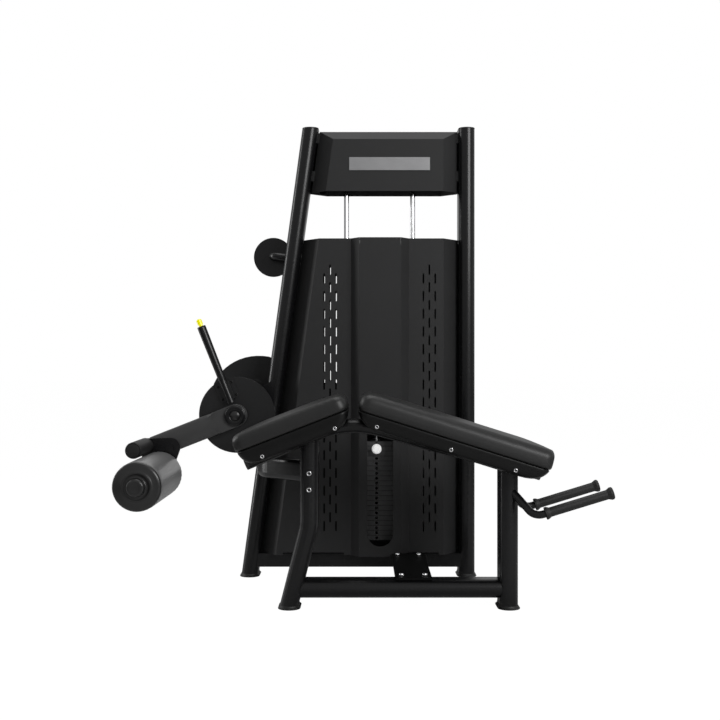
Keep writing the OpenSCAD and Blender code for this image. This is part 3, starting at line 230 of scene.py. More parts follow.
def sand_height(graph: Graph, scale: float) -> Sock:
    """Height of sand texture: sharp small cells over fine noise."""
    spot = graph.place()
    cells = graph.value("ShaderNodeTexVoronoi", {}, {"Vector": spot, "Scale": scale}, "Distance")
    return cells * 0.6 + graph.noise(spot, 0.6 * scale) * 0.4


def hide_height(graph: Graph, scale: float) -> Sock:
    """Height of leather: cells with creases between them, bent by noise."""
    spot = graph.place((1.0, 1.15, 1.0))
    settings = {"feature": "DISTANCE_TO_EDGE"}
    cells = graph.value("ShaderNodeTexVoronoi", settings, {"Vector": spot, "Scale": scale}, "Distance")
    return (cells * 2.2) ** 0.5 * 0.7 + graph.noise(spot, 0.35 * scale, 4.0) * 0.3


def brush_height(graph: Graph, scale: float) -> Sock:
    """Height of brush lines: noise drawn out forty times along X."""
    return graph.noise(graph.place((0.025, 1.0, 1.0)), scale, 4.0)


def drawn_height(graph: Graph, scale: float) -> Sock:
    """Height of drawing lines: noise drawn out sixty times along Z."""
    return graph.noise(graph.place((1.0, 1.0, 0.016)), scale, 3.0)


def cast_height(graph: Graph, scale: float) -> Sock:
    """Height of painted casting: soft lumps with small pits."""
    spot = graph.place()
    return graph.noise(spot, scale, 5.0) * 0.8 + graph.noise(spot, 6.0 * scale, 1.0) * 0.2


def mould_height(graph: Graph, scale: float) -> Sock:
    """Height of moulded plastic: one even small noise."""
    return graph.noise(graph.place(), scale, 1.0)


def strand_height(graph: Graph, scale: float) -> Sock:
    """Height of wire rope: slanting sine bands round the rope."""
    settings = {"wave_type": "BANDS", "bands_direction": "DIAGONAL"}
    sockets = {"Vector": graph.place(), "Scale": scale, "Distortion": 0.4}
    return graph.value("ShaderNodeTexWave", settings, sockets, 1)


RELIEF: dict[Grain, Callable[[Graph, float], Sock]] = {
    Grain.PEEL: peel_height,
    Grain.SAND: sand_height,
    Grain.HIDE: hide_height,
    Grain.BRUSH: brush_height,
    Grain.DRAWN: drawn_height,
    Grain.CAST: cast_height,
    Grain.MOULD: mould_height,
    Grain.STRAND: strand_height,
}


@dataclass(frozen=True)
class Finish:
    """One surface finish: two tones, a range of gloss and a fine relief.

    The tone and the gloss drift with a broad noise, and the relief's low places are darkened with painted
    shade.
    """

    name: str
    low: Triple
    high: Triple
    rough: Pair
    grain: Grain
    cells: float
    depth_mm: float
    strength: float = 0.5
    metallic: float = 0.0
    specular: float = 0.5
    coat: float = 0.0
    coat_rough: float = 0.12
    drift: float = 9.0
    # Glow: emission in the finish's lighter tone, painted light that brightens a part that is no lamp.
    glow: float = 0.0
    # First joint, pitch and half band, in millimetres, of the painted shade over a plate stack's joints, and
    # that shade's colour.
    joints: Triple | None = None
    joint_shade_tone: Triple = (0.002, 0.002, 0.002)

    def shade_between_plates(self, graph: Graph, colour: Sock) -> Sock:
        """Paints shade into the thin joints of a stack of plates: the gaps are real, and their dark band is
        painted shade.

        A height counts in pitches from the first joint; near a whole number it lies in a joint.

        Args:
            graph: The material's graph.
            colour: Colour of the faces.

        Returns:
            The colour with painted shade over its joints.
        """
        if self.joints is None:
            return colour
        first, pitch, band = self.joints
        level = graph.coordinate(2) * (1 / (pitch * MM)) - (first / pitch - 0.5)
        # Painted shade: a dark band over each joint, wider than the real gap.
        on_face = (level.fract() - 0.5).size().above(band / pitch)
        return graph.blend(on_face, (*self.joint_shade_tone, 1.0), colour)

    def build(self) -> bpy.types.Material:
        """Makes the material.

        Returns:
            A Principled material with colour, roughness and bump from nodes.
        """
        material = bpy.data.materials.new(self.name)
        graph = Graph(material)
        height = RELIEF[self.grain](graph, self.cells)
        cloud = graph.noise(graph.place(), self.drift, 3.0)
        # Tone: a random drift from the broad noise, plus painted shade in the relief's low places.
        tone = graph.blend(cloud * 0.6 + height * 0.4, (*self.low, 1.0), (*self.high, 1.0))
        least, most = self.rough
        graph.show("ShaderNodeBsdfPrincipled", {
            # Base colour: carries the painted shade of the relief and of the plates' joints.
            "Base Color": self.shade_between_plates(graph, tone),
            "Roughness": (cloud * 0.5 + height * 0.5) * (most - least) + least,
            "Normal": graph.bump(height, self.depth_mm * MM, self.strength),
            "Metallic": self.metallic,
            "Specular IOR Level": self.specular,
            "Coat Weight": self.coat,
            "Coat Roughness": self.coat_rough,
            # Painted light: emission in the lighter tone, as strong as glow.
            "Emission Color": (*self.high, 1.0),
            "Emission Strength": self.glow,
        })
        material.diffuse_color = (*self.high, 1.0)
        return material


@dataclass(frozen=True)
class Knob:
    """White knob on a steel shank: the tone changes where the shank leaves the knob, and the white glows a
    little with painted light.
    """

    name: str = "selector_knob"
    shank_from_mm: float = 500.5
    white: Triple = (0.93, 0.93, 0.91)
    steel: Triple = (0.5, 0.5, 0.51)
    rough: Pair = (0.28, 0.36)
    cells: float = 900.0
    depth_mm: float = 0.02
    strength: float = 0.3
    coat: float = 0.2
    # Strength of the white knob's painted light.
    glow: float = 0.45

    def build(self) -> bpy.types.Material:
        """Makes the material, white in front of the shank and bare steel behind.

        Returns:
            A Principled material.
        """
        material = bpy.data.materials.new(self.name)
        graph = Graph(material)
        on_shank = graph.coordinate(1).above((self.shank_from_mm - ORIGIN_MM[1]) * MM)
        height = mould_height(graph, self.cells)
        least, most = self.rough
        graph.show("ShaderNodeBsdfPrincipled", {
            "Base Color": graph.blend(on_shank, (*self.white, 1.0), (*self.steel, 1.0)),
            "Roughness": height * (most - least) + least,
            "Metallic": on_shank,
            "Normal": graph.bump(height, self.depth_mm * MM, self.strength),
            "Coat Weight": self.coat,
            # Painted light: the white knob glows, the steel shank does not.
            "Emission Color": graph.blend(on_shank, WHITE, BLACK),
            "Emission Strength": self.glow,
        })
        return material


def grey(level: float, blue: float | None = None) -> Triple:
    """Neutral tone, with its own blue where one is given."""
    return (level, level, level if blue is None else blue)


FINISHES = (
    Finish("frame_coat", grey(0.0035, 0.004), grey(0.007, 0.0075), (0.22, 0.32), Grain.PEEL,
           700.0, 0.05, 0.35, specular=0.32),
    # The arm has the frame's paint; this lighter copy is painted light, standing in for the highlights on its
    # rounded tube.
    Finish("arm_coat_painted_light", grey(0.054, 0.0545), grey(0.074, 0.0745), (0.30, 0.42), Grain.PEEL,
           700.0, 0.05, 0.35, specular=0.32),
    Finish("disc_coat", grey(0.0125, 0.013), grey(0.0185, 0.019), (0.30, 0.42), Grain.PEEL,
           700.0, 0.05, 0.35, specular=0.32),
    Finish("cover_coat", grey(0.017, 0.0175), grey(0.027, 0.0275), (0.50, 0.66), Grain.SAND,
           1300.0, 0.10, 0.55, specular=0.3),
    Finish("badge_brush", grey(0.22, 0.225), grey(0.40, 0.405), (0.30, 0.50), Grain.BRUSH,
           2600.0, 0.03, 0.4, metallic=1.0),
    Finish("rod_chrome", grey(0.72, 0.73), grey(0.86, 0.87), (0.07, 0.16), Grain.DRAWN,
           1800.0, 0.01, 0.2, metallic=1.0),
    Finish("bare_steel", grey(0.42, 0.43), grey(0.62, 0.63), (0.24, 0.40), Grain.DRAWN,
           2200.0, 0.02, 0.3, metallic=1.0),
    # Weight plates: a dark band of painted shade over each joint.
    Finish("plate_coat", grey(0.050, 0.051), grey(0.080, 0.081), (0.40, 0.56), Grain.CAST,
           160.0, 0.18, 0.4, specular=0.4, joints=(136.9, 18.5, 1.2)),
    Finish("foot_rubber", grey(0.006), grey(0.012), (0.45, 0.62), Grain.MOULD,
           1100.0, 0.06, 0.4, specular=0.4),
    Finish("grip_rubber", grey(0.007), grey(0.014), (0.42, 0.58), Grain.SAND,
           900.0, 0.08, 0.5, specular=0.4),
    Finish("cable_jacket", grey(0.012, 0.013), grey(0.026, 0.027), (0.22, 0.36), Grain.STRAND, 60.0, 0.20),
    Finish("pulley_nylon", grey(0.010, 0.011), grey(0.020, 0.021), (0.34, 0.48), Grain.MOULD,
           600.0, 0.04, 0.4),
    Finish("bush_bronze", (0.36, 0.21, 0.07), (0.52, 0.33, 0.13), (0.26, 0.42), Grain.CAST,
           500.0, 0.03, 0.4, metallic=1.0),
    Finish("shell_plastic", grey(0.003), grey(0.006), (0.30, 0.42), Grain.MOULD,
           800.0, 0.05, 0.35, specular=0.2),
    Finish("flat_black", grey(0.003), grey(0.0055), (0.34, 0.46), Grain.PEEL,
           700.0, 0.05, 0.35, specular=0.06),
    Finish("cap_plastic", grey(0.009), grey(0.015), (0.24, 0.36), Grain.MOULD, 500.0, 0.03, 0.3),
    Finish("pad_hide", grey(0.005), grey(0.011), (0.34, 0.52), Grain.HIDE, 420.0, 0.14, 0.45, specular=0.45),
    # Roller cover: its own grey vinyl tone, lightened further by a painted sheen.
    Finish("roller_hide_painted_sheen", grey(0.160, 0.161), grey(0.220, 0.221), (0.28, 0.42), Grain.HIDE,
           460.0, 0.10, 0.4, specular=0.6, coat=0.25),
    # Yellow button: its glow is painted light that brightens it.
    Finish("button_gloss", (0.86, 0.80, 0.0), (0.95, 0.90, 0.0), (0.22, 0.34), Grain.MOULD,
           700.0, 0.02, 0.3, coat=0.3, glow=0.4),
    Finish("socket_black", grey(0.003), grey(0.006), (0.30, 0.44), Grain.MOULD, 900.0, 0.02, 0.3),
    Finish("bolt_zinc", grey(0.58, 0.59), grey(0.78, 0.79), (0.16, 0.30), Grain.CAST,
           700.0, 0.02, 0.3, metallic=1.0),
)

FINISH_NODES: dict[str, tuple[str, ...]] = {
    "cover_coat": ("header_cover", "front_shroud", "rear_cover", "shroud_window_panel"),
    "flat_black": ("connector_plate",),
    "badge_brush": ("badge_plate",),
    "rod_chrome": ("guide_rods", "cable_clevis"),
    "bare_steel": (
        "rod_collars", "selector_stem", "pulley_axles", "drive_shaft", "index_plate", "roller_axle",
    ),
    "bolt_zinc": ("frame_bolts",),
    "plate_coat": ("weight_plates", "head_plate", "lifted_plate"),
    "foot_rubber": ("floor_feet", "stack_bumpers"),
    "grip_rubber": ("hand_grips",),
    "cable_jacket": ("cable_run", "cable_drop", "cable_wrap"),
    "pulley_nylon": ("left_pulley", "right_pulley"),
    "bush_bronze": ("shaft_bushes",),
    "disc_coat": ("arm_disc", "cam", "lever_bracket"),
    "arm_coat_painted_light": ("arm_tube",),
    "cap_plastic": ("hub_cap", "spine_plugs", "roller_caps"),
    "shell_plastic": ("roller_core", "thigh_shell", "torso_shell"),
    "pad_hide": ("thigh_cushion", "torso_cushion"),
    "roller_hide_painted_sheen": ("roller_sleeve",),
    "button_gloss": ("release_button",),
    "selector_knob": ("selector_pin",),
}
NODE_FINISH = {node: finish for finish, nodes in FINISH_NODES.items() for node in nodes}
FRAME_COAT = "frame_coat"


class Palette:
    """All finishes, made once and found by name."""

    def __init__(self) -> None:
        """Builds every finish."""
        makers = [*FINISHES, Knob()]
        self.made = {maker.name: maker.build() for maker in makers}

    def __getitem__(self, name: str) -> bpy.types.Material:
        """The material of that name."""
        return self.made[name]

    def dress_nodes(self, nodes: dict[str, bpy.types.Object]) -> None:
        """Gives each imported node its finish.

        Args:
            nodes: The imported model's objects by node name.
        """
        for name, node in nodes.items():
            finish = NODE_FINISH.get(name, FRAME_COAT)
            node.data.materials.clear()
            node.data.materials.append(self[finish])
            LOG.info("node %s has finish %s", name, finish)


def to_row(points: Array) -> Array:
    """Machine millimetres to row metres: subtract the origin and scale."""
    return (points - ORIGIN_MM) * MM


def stand_on(points: Array, at: Array | Triple, normal: Array | Triple) -> Array:
    """Moves a shape that stands on Z = 0 to a point with its Z along a normal.

    The frame is the normal, its cross with a helper axis, and the cross of both.

    Args:
        points: Local points, with a last axis of three.
        at: Target point.
        normal: Direction that the local Z takes.

    Returns:
        The moved points.
    """
    third = np.array(normal, float) / np.linalg.norm(normal)
    helper = np.array(UP if abs(third[2]) < 0.9 else (1.0, 0.0, 0.0))
    first = np.cross(helper, third)
    first /= np.linalg.norm(first)
    second = np.cross(third, first)
    return points @ np.stack([first, second, third]) + np.array(at, float)


def full_turn(count: int) -> Array:
    """Even angles once round."""
    return np.arange(count) / count * 2 * math.pi


def lathe(radius: Array, height: Array, around: int) -> Array:
    """Rings turned round Z: the radius times cos and sin of the angle, at a height.

    Args:
        radius: One row a ring, with one radius or one for each angle.
        height: One row a ring, with its height.
        around: Points in a ring.

    Returns:
        Array of rings, points and three coordinates.
    """
    angle = full_turn(around)
    wide = radius * np.cos(angle)
    return np.stack([wide, radius * np.sin(angle), np.broadcast_to(height, wide.shape)], axis=2)


def with_height(rings: Array, height: Array) -> Array:
    """Rings of two coordinates, with a height for each ring or point as the third."""
    return np.concatenate([rings, np.broadcast_to(height, rings.shape[:2])[..., None]], axis=2)


def ring_faces(rows: int, columns: int) -> Array:
    """Quads of a grid of rings, closed round each ring.

    Args:
        rows: Number of rings.
        columns: Points in a ring.

    Returns:
        Four point numbers for each face.
    """
    row, column = np.meshgrid(np.arange(rows - 1), np.arange(columns), indexing="ij")
    here = row * columns + column
    beside = row * columns + (column + 1) % columns
    return np.stack([here, beside, beside + columns, here + columns], axis=-1).reshape(-1, 4)


def closed_faces(rows: int, columns: int) -> Array:
    """Quads of a grid of rings with a lid on the first and the last ring.

    A lid is a strip of quads between a ring's first half and its second half, which mirrors it.

    Args:
        rows: Number of rings.
        columns: Points in a ring, an even number.

    Returns:
        Four point numbers for each face.
    """
    one = np.arange(columns // 2 - 1)
    lid = np.stack([one, one + 1, columns - 2 - one, columns - 1 - one], axis=-1)
    return np.concatenate([ring_faces(rows, columns), lid[:, ::-1], lid + (rows - 1) * columns])


def repeat_faces(faces: Array, times: int, size: int) -> Array:
    """Faces of a shape that is repeated, each time numbered on by its points."""
    return (faces + size * np.arange(times)[:, None, None]).reshape(-1, faces.shape[1])


@dataclass
class Piece:
    """A new mesh with its body, finishes and the nodes that it stands for."""

    name: str
    body: Body
    finishes: tuple[str, ...]
    slot: str
    replaces: tuple[str, ...] = ()

    def make(self, palette: Palette, points: Array, faces: Array,
             kinds: Array | None = None) -> bpy.types.Object:
        """Puts points and faces into a mesh object, closes it and rides it on its body.

        Args:
            palette: The finishes.
            points: Machine millimetres, one row a point.
            faces: Point numbers, one row a face.
            kinds: Finish number of each face, or None for the first.

        Returns:
            The new object.
        """
        mesh = bpy.data.meshes.new(self.name)
        mesh.from_pydata(to_row(points).tolist(), [], faces.tolist())
        for finish in self.finishes:
            mesh.materials.append(palette[finish])
        if kinds is not None:
            mesh.polygons.foreach_set("material_index", kinds.astype(np.int32))
        shape = bmesh.new()
        shape.from_mesh(mesh)
        bmesh.ops.remove_doubles(shape, verts=shape.verts, dist=1e-6)
        bmesh.ops.recalc_face_normals(shape, faces=shape.faces)
        shape.to_mesh(mesh)
        shape.free()
        mesh.polygons.foreach_set("use_smooth", np.ones(len(mesh.polygons), bool))
        thing = bpy.data.objects.new(self.name, mesh)
        bpy.context.scene.collection.objects.link(thing)
        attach(thing, self.body.value)
        if self.replaces:
            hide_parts(*self.replaces)
        LOG.info("piece %s: %d faces on %s", self.name, len(mesh.polygons), self.body.value)
        return thing


@dataclass
class SubAssembly:
    """A sub-assembly that works out a grid and makes one piece of it."""

    piece: Piece

    def grid(self) -> Grid:
        """Works out the piece in the machine's frame.

        Returns:
            Points, point numbers of each face and, where they differ, the faces' finish numbers.
        """
        raise NotImplementedError

    def build(self, palette: Palette) -> bpy.types.Object:
        """Makes the piece.

        Args:
            palette: The finishes.

        Returns:
            The new object.
        """
        points, *rest = self.grid()
        return self.piece.make(palette, points.reshape(-1, 3), *rest)


@dataclass(frozen=True)
class RoundedOutline:
    """Rounded rectangle as arrays: a point is a corner centre plus a radius along a direction.

    The first half runs from the right end over the far side to the left end, and the second
    half mirrors it, so that a lid can close the ring.
    """

    corner_n: int = 14
    side_n: int = 46
    end_n: int = 12

    def parts(self) -> tuple[Array, Array]:
        """Corner factors and directions of all points.

        Returns:
            Two arrays of pairs.
        """
        rise = (np.arange(self.end_n) + 0.5) / self.end_n
        quarter = np.linspace(0.0, math.pi / 2, self.corner_n)
        run = np.linspace(1.0, -1.0, self.side_n + 2)[1:-1]
        ends, corners, sides = np.ones(self.end_n), np.ones(self.corner_n), np.ones(self.side_n)
        factors = np.stack([
            np.concatenate([ends, corners, run, -corners, -ends]),
            np.concatenate([rise, corners, sides, corners, rise[::-1]]),
        ], axis=1)
        angles = np.concatenate([
            0 * ends, quarter, sides * math.pi / 2, quarter + math.pi / 2, ends * math.pi,
        ])
        directions = np.stack([np.cos(angles), np.sin(angles)], axis=1)
        mirror = np.array([1.0, -1.0])
        both = [np.concatenate([half, half[::-1] * mirror]) for half in (factors, directions)]
        return both[0], both[1]

    def rings(self, half_x: Array, half_y: Array, radius: Array) -> Array:
        """Rings of given half sizes.

        Args:
            half_x: Half length of each ring.
            half_y: Half width of each ring.
            radius: Corner radius of each ring.

        Returns:
            Array of rings, points and two coordinates.
        """
        factors, directions = self.parts()
        inner = np.stack([half_x - radius, half_y - radius], 1)
        return inner[:, None, :] * factors[None] + radius[:, None, None] * directions[None]


@dataclass(frozen=True)
class Seat:
    """Where a pad lies: the left end of its underside, its slope down in degrees and its length."""

    x: float
    z: float
    slope: float
    length: float

    def to_machine(self, local: Array) -> Array:
        """Turns a pad's own points about Y and moves them: x' = x cos + z sin, z' = z cos - x sin."""
        angle = math.radians(self.slope)
        matrix = np.array([
            [math.cos(angle), 0.0, math.sin(angle)],
            [0.0, 1.0, 0.0],
            [-math.sin(angle), 0.0, math.cos(angle)],
        ])
        return local @ matrix.T + np.array([self.x, 0.0, self.z])


THIGH = Seat(-396.4, 513.7, -21.3, 388.0)
TORSO = Seat(-8.0, 651.0, 17.4, 647.0)
PAD_WIDTH = 290.0


@dataclass
class PadCushion(SubAssembly):
    """Upholstered cushion: tucked under, full at the sides, rounded at the shoulder and crowned.

    A ring of the outline is drawn in by a profile's inset and lifted to its height. Soft pull
    lines run over the shoulder and fade out on the crown. Toward the far end the inset shrinks to
    its stern share, with the square of the distance, so that end has a tighter edge.
    """

    seat: Seat
    shoulder: float
    height: float
    stern: float = 1.0
    crown: float = 7.0
    tuck: float = 9.0
    full_at: float = 11.0
    corner: float = 34.0
    pulls: int = 46
    pull_height: float = 0.35
    pull_reach: float = 9.0

    def profile(self) -> Array:
        """Inset and height from the underside's middle over the side to the crown's middle.

        Returns:
            One row for each ring.
        """
        half = PAD_WIDTH / 2
        edge = self.height - self.shoulder
        under = [(half - 0.5, 0.0), (0.5 * half, 0.0), (self.tuck + 2, 0.0), (self.tuck, 0.4)]
        side = [
            (self.tuck - 3.5, 1.6), (2.0, 5.0), (0.6, 8.0), (0.0, self.full_at),
            (0.1, 0.5 * (self.full_at + edge)), (1.0, edge),
        ]
        turn = np.radians(np.arange(10, 89, 9))
        inset = self.shoulder * (1 - np.cos(turn)) + 1
        shoulder = np.stack([inset, edge + self.shoulder * np.sin(turn)], 1)
        share = np.linspace(0.06, 1.0, 16)
        start = self.shoulder + 1
        rise = self.height + self.crown * np.sin(share * math.pi / 2)
        top = np.stack([start + (half - start - 0.5) * share, rise], 1)
        return np.concatenate([under, side, shoulder, top])

    def grid(self) -> Grid:
        """Rings from the underside to the crown.

        Returns:
            Points and faces.
        """
        inset, height = self.profile().T
        half_x = self.seat.length / 2 - inset
        half_y = PAD_WIDTH / 2 - inset
        radius = np.minimum(np.maximum(self.corner - 0.25 * inset, 0.4), half_y)
        rings = RoundedOutline().rings(half_x, half_y, radius)
        toward = np.clip(rings[..., 0] / half_x[:, None], 0.0, 1.0) ** 2
        rings[..., 0] += (1 - self.stern) * np.minimum(inset, self.shoulder)[:, None] * toward
        round_at = full_turn(rings.shape[1])
        wave = np.sin(self.pulls * round_at) + 0.6 * np.sin(0.37 * self.pulls * round_at + 1.0)
        off_edge = (inset - 0.35 * self.shoulder) / self.pull_reach
        on_edge = np.exp(-(off_edge ** 2)) * (height > 0.45 * self.height)
        local = with_height(rings, height[:, None] + self.pull_height * on_edge[:, None] * wave[None])
        local[..., 0] += self.seat.length / 2
        return self.seat.to_machine(local), closed_faces(*rings.shape[:2])

    def build(self, palette: Palette) -> bpy.types.Object:
        """Args:
            palette: The finishes.

        Returns:
            The cushion.
        """
        return super().build(palette)


@dataclass
class PadShell(SubAssembly):
    """Moulded shell under a cushion: a rounded rim, an upright band and a turned-under bottom.

    A ring of the outline is drawn in by a profile's inset and dropped by its depth. The two ends
    lean in with the share of the drop, raised to a power.
    """

    seat: Seat
    bow: float
    stern: float
    screws: tuple[Pair, ...]
    drop: float
    corner: float = 32.0
    lean_power: float = 1.6
    rim: tuple[Pair, ...] = (
        (140.0, 0.6), (60.0, 0.6), (9.0, 0.6), (6.4, 1.0), (4.6, 2.4), (4.0, 4.6),
    )
    band: tuple[Pair, ...] = (
        (3.8, 0.16), (4.0, 0.33), (4.6, 0.52), (6.0, 0.66), (9.0, 0.76), (13.5, 0.84),
        (20.0, 0.905), (29.0, 0.955), (40.0, 0.985), (54.0, 0.998), (80.0, 1.0), (140.0, 1.0),
    )

    def profile(self) -> Array:
        """Inset and depth from the top's middle over the rim and band to the bottom's middle."""
        return np.concatenate([self.rim, np.array(self.band) * (1.0, self.drop)])

    def grid(self) -> Grid:
        """Rings from the top to the bottom.

        Returns:
            Points and faces.
        """
        inset, depth = self.profile().T
        lean = (depth / self.drop) ** self.lean_power
        half_y = PAD_WIDTH / 2 - inset
        half_x = self.seat.length / 2 - inset - 0.5 * (self.bow + self.stern) * lean
        radius = np.minimum(np.maximum(self.corner - 0.3 * inset, 3.0), half_y)
        rings = RoundedOutline().rings(half_x, half_y, radius)
        rings[..., 0] += (self.seat.length / 2 + 0.5 * (self.bow - self.stern) * lean)[:, None]
        return self.seat.to_machine(with_height(rings, -depth[:, None])), closed_faces(*rings.shape[:2])

    def screw_spots(self) -> tuple[Array, Array]:
        """Places of the screws on both sides of the band, with the directions that they face.

        Returns:
            Points and normals in the machine's frame.
        """
        along, depth = np.array(self.screws).T
        inset, level = self.profile()[2:-1].T
        half = PAD_WIDTH / 2 - np.interp(depth, level, inset)
        sides = np.repeat([-1.0, 1.0], len(along))
        local = np.stack([np.tile(along, 2), sides * np.tile(half, 2), -np.tile(depth, 2)], axis=1)
        normals = np.stack([0 * sides, sides, 0 * sides], axis=1)
        return self.seat.to_machine(local), normals


@dataclass
class Turned(SubAssembly):
    """Shapes turned round an axis: a profile of radius and height, closed on itself or on the axis."""

    profile: tuple[Pair, ...]
    spots: Spots
    facing: Array | Triple
    around: int = 72

    def grid(self) -> Grid:
        """One turned shape at each spot.

        Returns:
            Points and faces.
        """
        radius, height = np.array(self.profile).T[..., None]
        shape = lathe(radius, height, self.around).reshape(-1, 3)
        points = np.concatenate([stand_on(shape, at, self.facing) for at in self.spots])
        faces = ring_faces(len(radius), self.around)
        return points, repeat_faces(faces, len(self.spots), len(shape))


@dataclass
class RollerCover(SubAssembly):
    """Cover of the ankle roller: a tube with rounded ends, a seam along it and gathers at its ends.

    The radius dips at the seam and waves a little near both ends.
    """

    length: float = 400.0
    radius: float = 78.5
    bore: float = 21.2
    edge: float = 10.0
    seam_at: float = 0.5
    seam_depth: float = 1.1
    seam_half: float = 0.03
    gathers: int = 34
    gather_depth: float = 0.5
    gather_reach: float = 14.0
    around: int = 120

    def profile(self) -> Array:
        """Radius and distance from the front end, over the outside and back through the bore.

        Returns:
            One row for each ring.
        """
        bend = np.radians(np.linspace(0, 90, 8))
        front = np.stack([self.radius - self.edge * (1 - np.sin(bend)), self.edge * (1 - np.cos(bend))], 1)
        steps = np.linspace(self.edge, self.length - self.edge, 28)[1:-1]
        middle = np.stack([np.full(len(steps), self.radius), steps], 1)
        back = np.stack([front[::-1, 0], self.length - front[::-1, 1]], 1)
        outer = np.concatenate([[[self.bore, 0.0]], front, middle, back, [[self.bore, self.length]]])
        return np.concatenate([outer, outer[:1]])

    def grid(self) -> Grid:
        """Rings along the roller's axis.

        Returns:
            Points and faces.
        """
        radius, along = self.profile().T[..., None]
        angle = full_turn(self.around)
        outside = radius > 0.8 * self.radius
        off_seam = np.angle(np.exp(1j * (angle - self.seam_at)))
        seam = self.seam_depth * np.exp(-((off_seam / self.seam_half) ** 2))
        from_end = np.minimum(along, self.length - along)
        near_end = np.exp(-(((from_end - self.edge) / self.gather_reach) ** 2))
        gather = self.gather_depth * near_end * (1 + np.sin(self.gathers * angle))
        size = radius - outside * (seam + gather)
        points = lathe(size, along - self.length / 2, self.around)[..., [0, 2, 1]]
        points += np.array([ROLLER_AXIS[0], 0.0, ROLLER_AXIS[1]])
        return points, ring_faces(len(radius), self.around)

    def build(self, palette: Palette) -> bpy.types.Object:
        """Args:
            palette: The finishes.

        Returns:
            The cover.
        """
        return super().build(palette)


# Shares of a bolt head's radius and height; the socket's two rows are six-sided.
BOLT_PROFILE = (
    (0.0, 0.0), (1.0, 0.0), (1.0, 0.22), (0.97, 0.28), (0.82, 0.28), (0.81, 0.6),
    (0.76, 0.86), (0.70, 1.0), (0.56, 1.0), (0.50, 0.95), (0.50, 0.4), (0.0, 0.4),
)
SOCKET_ROWS = (9, 10)
WASHER_ROWS = 3


@dataclass
class FastenerSet(SubAssembly):
    """Button-head bolts with a washer ring and a six-sided socket, in one mesh.

    Each bolt is a profile turned round its axis; in the socket the radius follows a hexagon,
    flat distance / cos(angle to the nearest flat).
    """

    spots: Spots
    normals: Spots
    head_r: float = 10.0
    head_h: float = 5.0
    around: int = 36

    def grid(self) -> Grid:
        """One bolt at each spot, with a dark washer and socket.

        Returns:
            Points, faces and finish numbers.
        """
        profile = np.array(BOLT_PROFILE) * (self.head_r, self.head_h)
        rows = np.arange(len(profile))
        flat = np.cos(np.mod(full_turn(self.around), math.pi / 3) - math.pi / 6)
        hexed = np.isin(rows, SOCKET_ROWS)[:, None]
        radius = np.where(hexed, profile[:, :1] * math.cos(math.pi / 6) / flat, profile[:, :1])
        shape = lathe(radius, profile[:, 1:], self.around).reshape(-1, 3)
        points = np.concatenate([stand_on(shape, at, normal) for at, normal in zip(self.spots, self.normals)])
        faces = ring_faces(len(rows), self.around)
        dark = ((rows <= WASHER_ROWS) | (rows >= SOCKET_ROWS[0]))[:-1].astype(int)
        kinds = np.tile(np.repeat(dark, self.around), len(self.spots))
        return points, repeat_faces(faces, len(self.spots), len(shape)), kinds


@dataclass
class OvalStack(SubAssembly):
    """Oval mouldings, such as feet and end caps: rings of an oval outline stacked by a profile.

    A profile row is how far the outline grows past the tube, and its height.
    """

    spots: Spots
    profile: tuple[Pair, ...]
    width: float = 60.0
    depth: float = 120.0

    def grid(self) -> Grid:
        """One moulding at each spot.

        Returns:
            Points and faces.
        """
        grow, height = np.array(self.profile).T
        half_x = self.width / 2 + grow
        half_y = self.depth / 2 + grow
        outline = RoundedOutline(corner_n=20, side_n=2, end_n=6)
        rings = outline.rings(half_x, half_y, np.minimum(half_x, half_y) - 0.2)
        shape = with_height(rings, height[:, None]).reshape(-1, 3)
        points = shape + np.array(self.spots)[:, None]
        return points, repeat_faces(closed_faces(*rings.shape[:2]), len(self.spots), len(shape))


@dataclass
class ArmBody(SubAssembly):
    """Arm tube: rounded along its length, flattened at the hub and cut aslant at its far end.

    A ring lies between the arm's top and bottom edge. It passes by a smooth step from a rectangle
    with small corners, at the hub, to the ellipse of the same height and depth.
    """

    down: float = 21.5
    half: float = 39.0
    length: float = 352.0
    front: float = 222.0
    depth: float = 42.0
    top_cut: float = 44.0
    low_cut: float = 30.0
    hub_corner: float = 2.5
    flat_to: float = 58.0
    round_from: float = 104.0

    def edges(self, along: Array) -> tuple[Array, Array]:
        """Heights of the top and bottom edge.

        Args:
            along: Distances from the hub's axis.

        Returns:
            The top and the bottom edge, each from the arm's middle line.
        """
        half, end = self.half, self.length
        nose = np.sqrt(np.maximum(half ** 2 - np.minimum(along, 0.0) ** 2, 0.2))
        top = np.interp(along, [end - self.top_cut, end], [half, -0.1 * half])
        low = np.interp(along, [end - self.low_cut, end], [-half, -half / 3])
        return np.minimum(nose, top), np.maximum(-nose, low)

    def grid(self) -> Grid:
        """Rings from the hub's round end along the arm.

        Returns:
            Points and faces.
        """
        nose = -self.half * np.cos(np.radians(np.linspace(2.0, 90.0, 16)))
        body = np.linspace(4.0, self.length, 88)
        along = np.concatenate([nose, body, body[-1:]])
        inset = np.concatenate([np.zeros(len(along) - 2), [0.4, 1.6]])
        top, low = self.edges(along)
        half_v = (top - low) / 2 - inset
        half_y = self.depth / 2 - inset
        share = np.clip((along - self.flat_to) / (self.round_from - self.flat_to), 0.0, 1.0)
        share = (share * share * (3 - 2 * share))[:, None, None]
        corner = np.minimum(self.hub_corner, 0.96 * np.minimum(half_v, half_y))
        box = RoundedOutline(12, 20, 12).rings(half_v, half_y, corner)
        reach = np.hypot(box[..., 0] / half_v[:, None], box[..., 1] / half_y[:, None])
        rings = box * (1 - share) + box / reach[..., None] * share
        angle = math.radians(self.down)
        run = np.array([-math.cos(angle), 0.0, -math.sin(angle)])
        rise = np.array([-math.sin(angle), 0.0, math.cos(angle)])
        across = rings[..., :1] + ((top + low) / 2)[:, None, None]
        points = along[:, None, None] * run + across * rise + rings[..., 1:] * np.array(BACK)
        points += np.array([ARM_PIVOT[0], self.front + self.depth / 2, ARM_PIVOT[1]])
        return points, closed_faces(*rings.shape[:2])


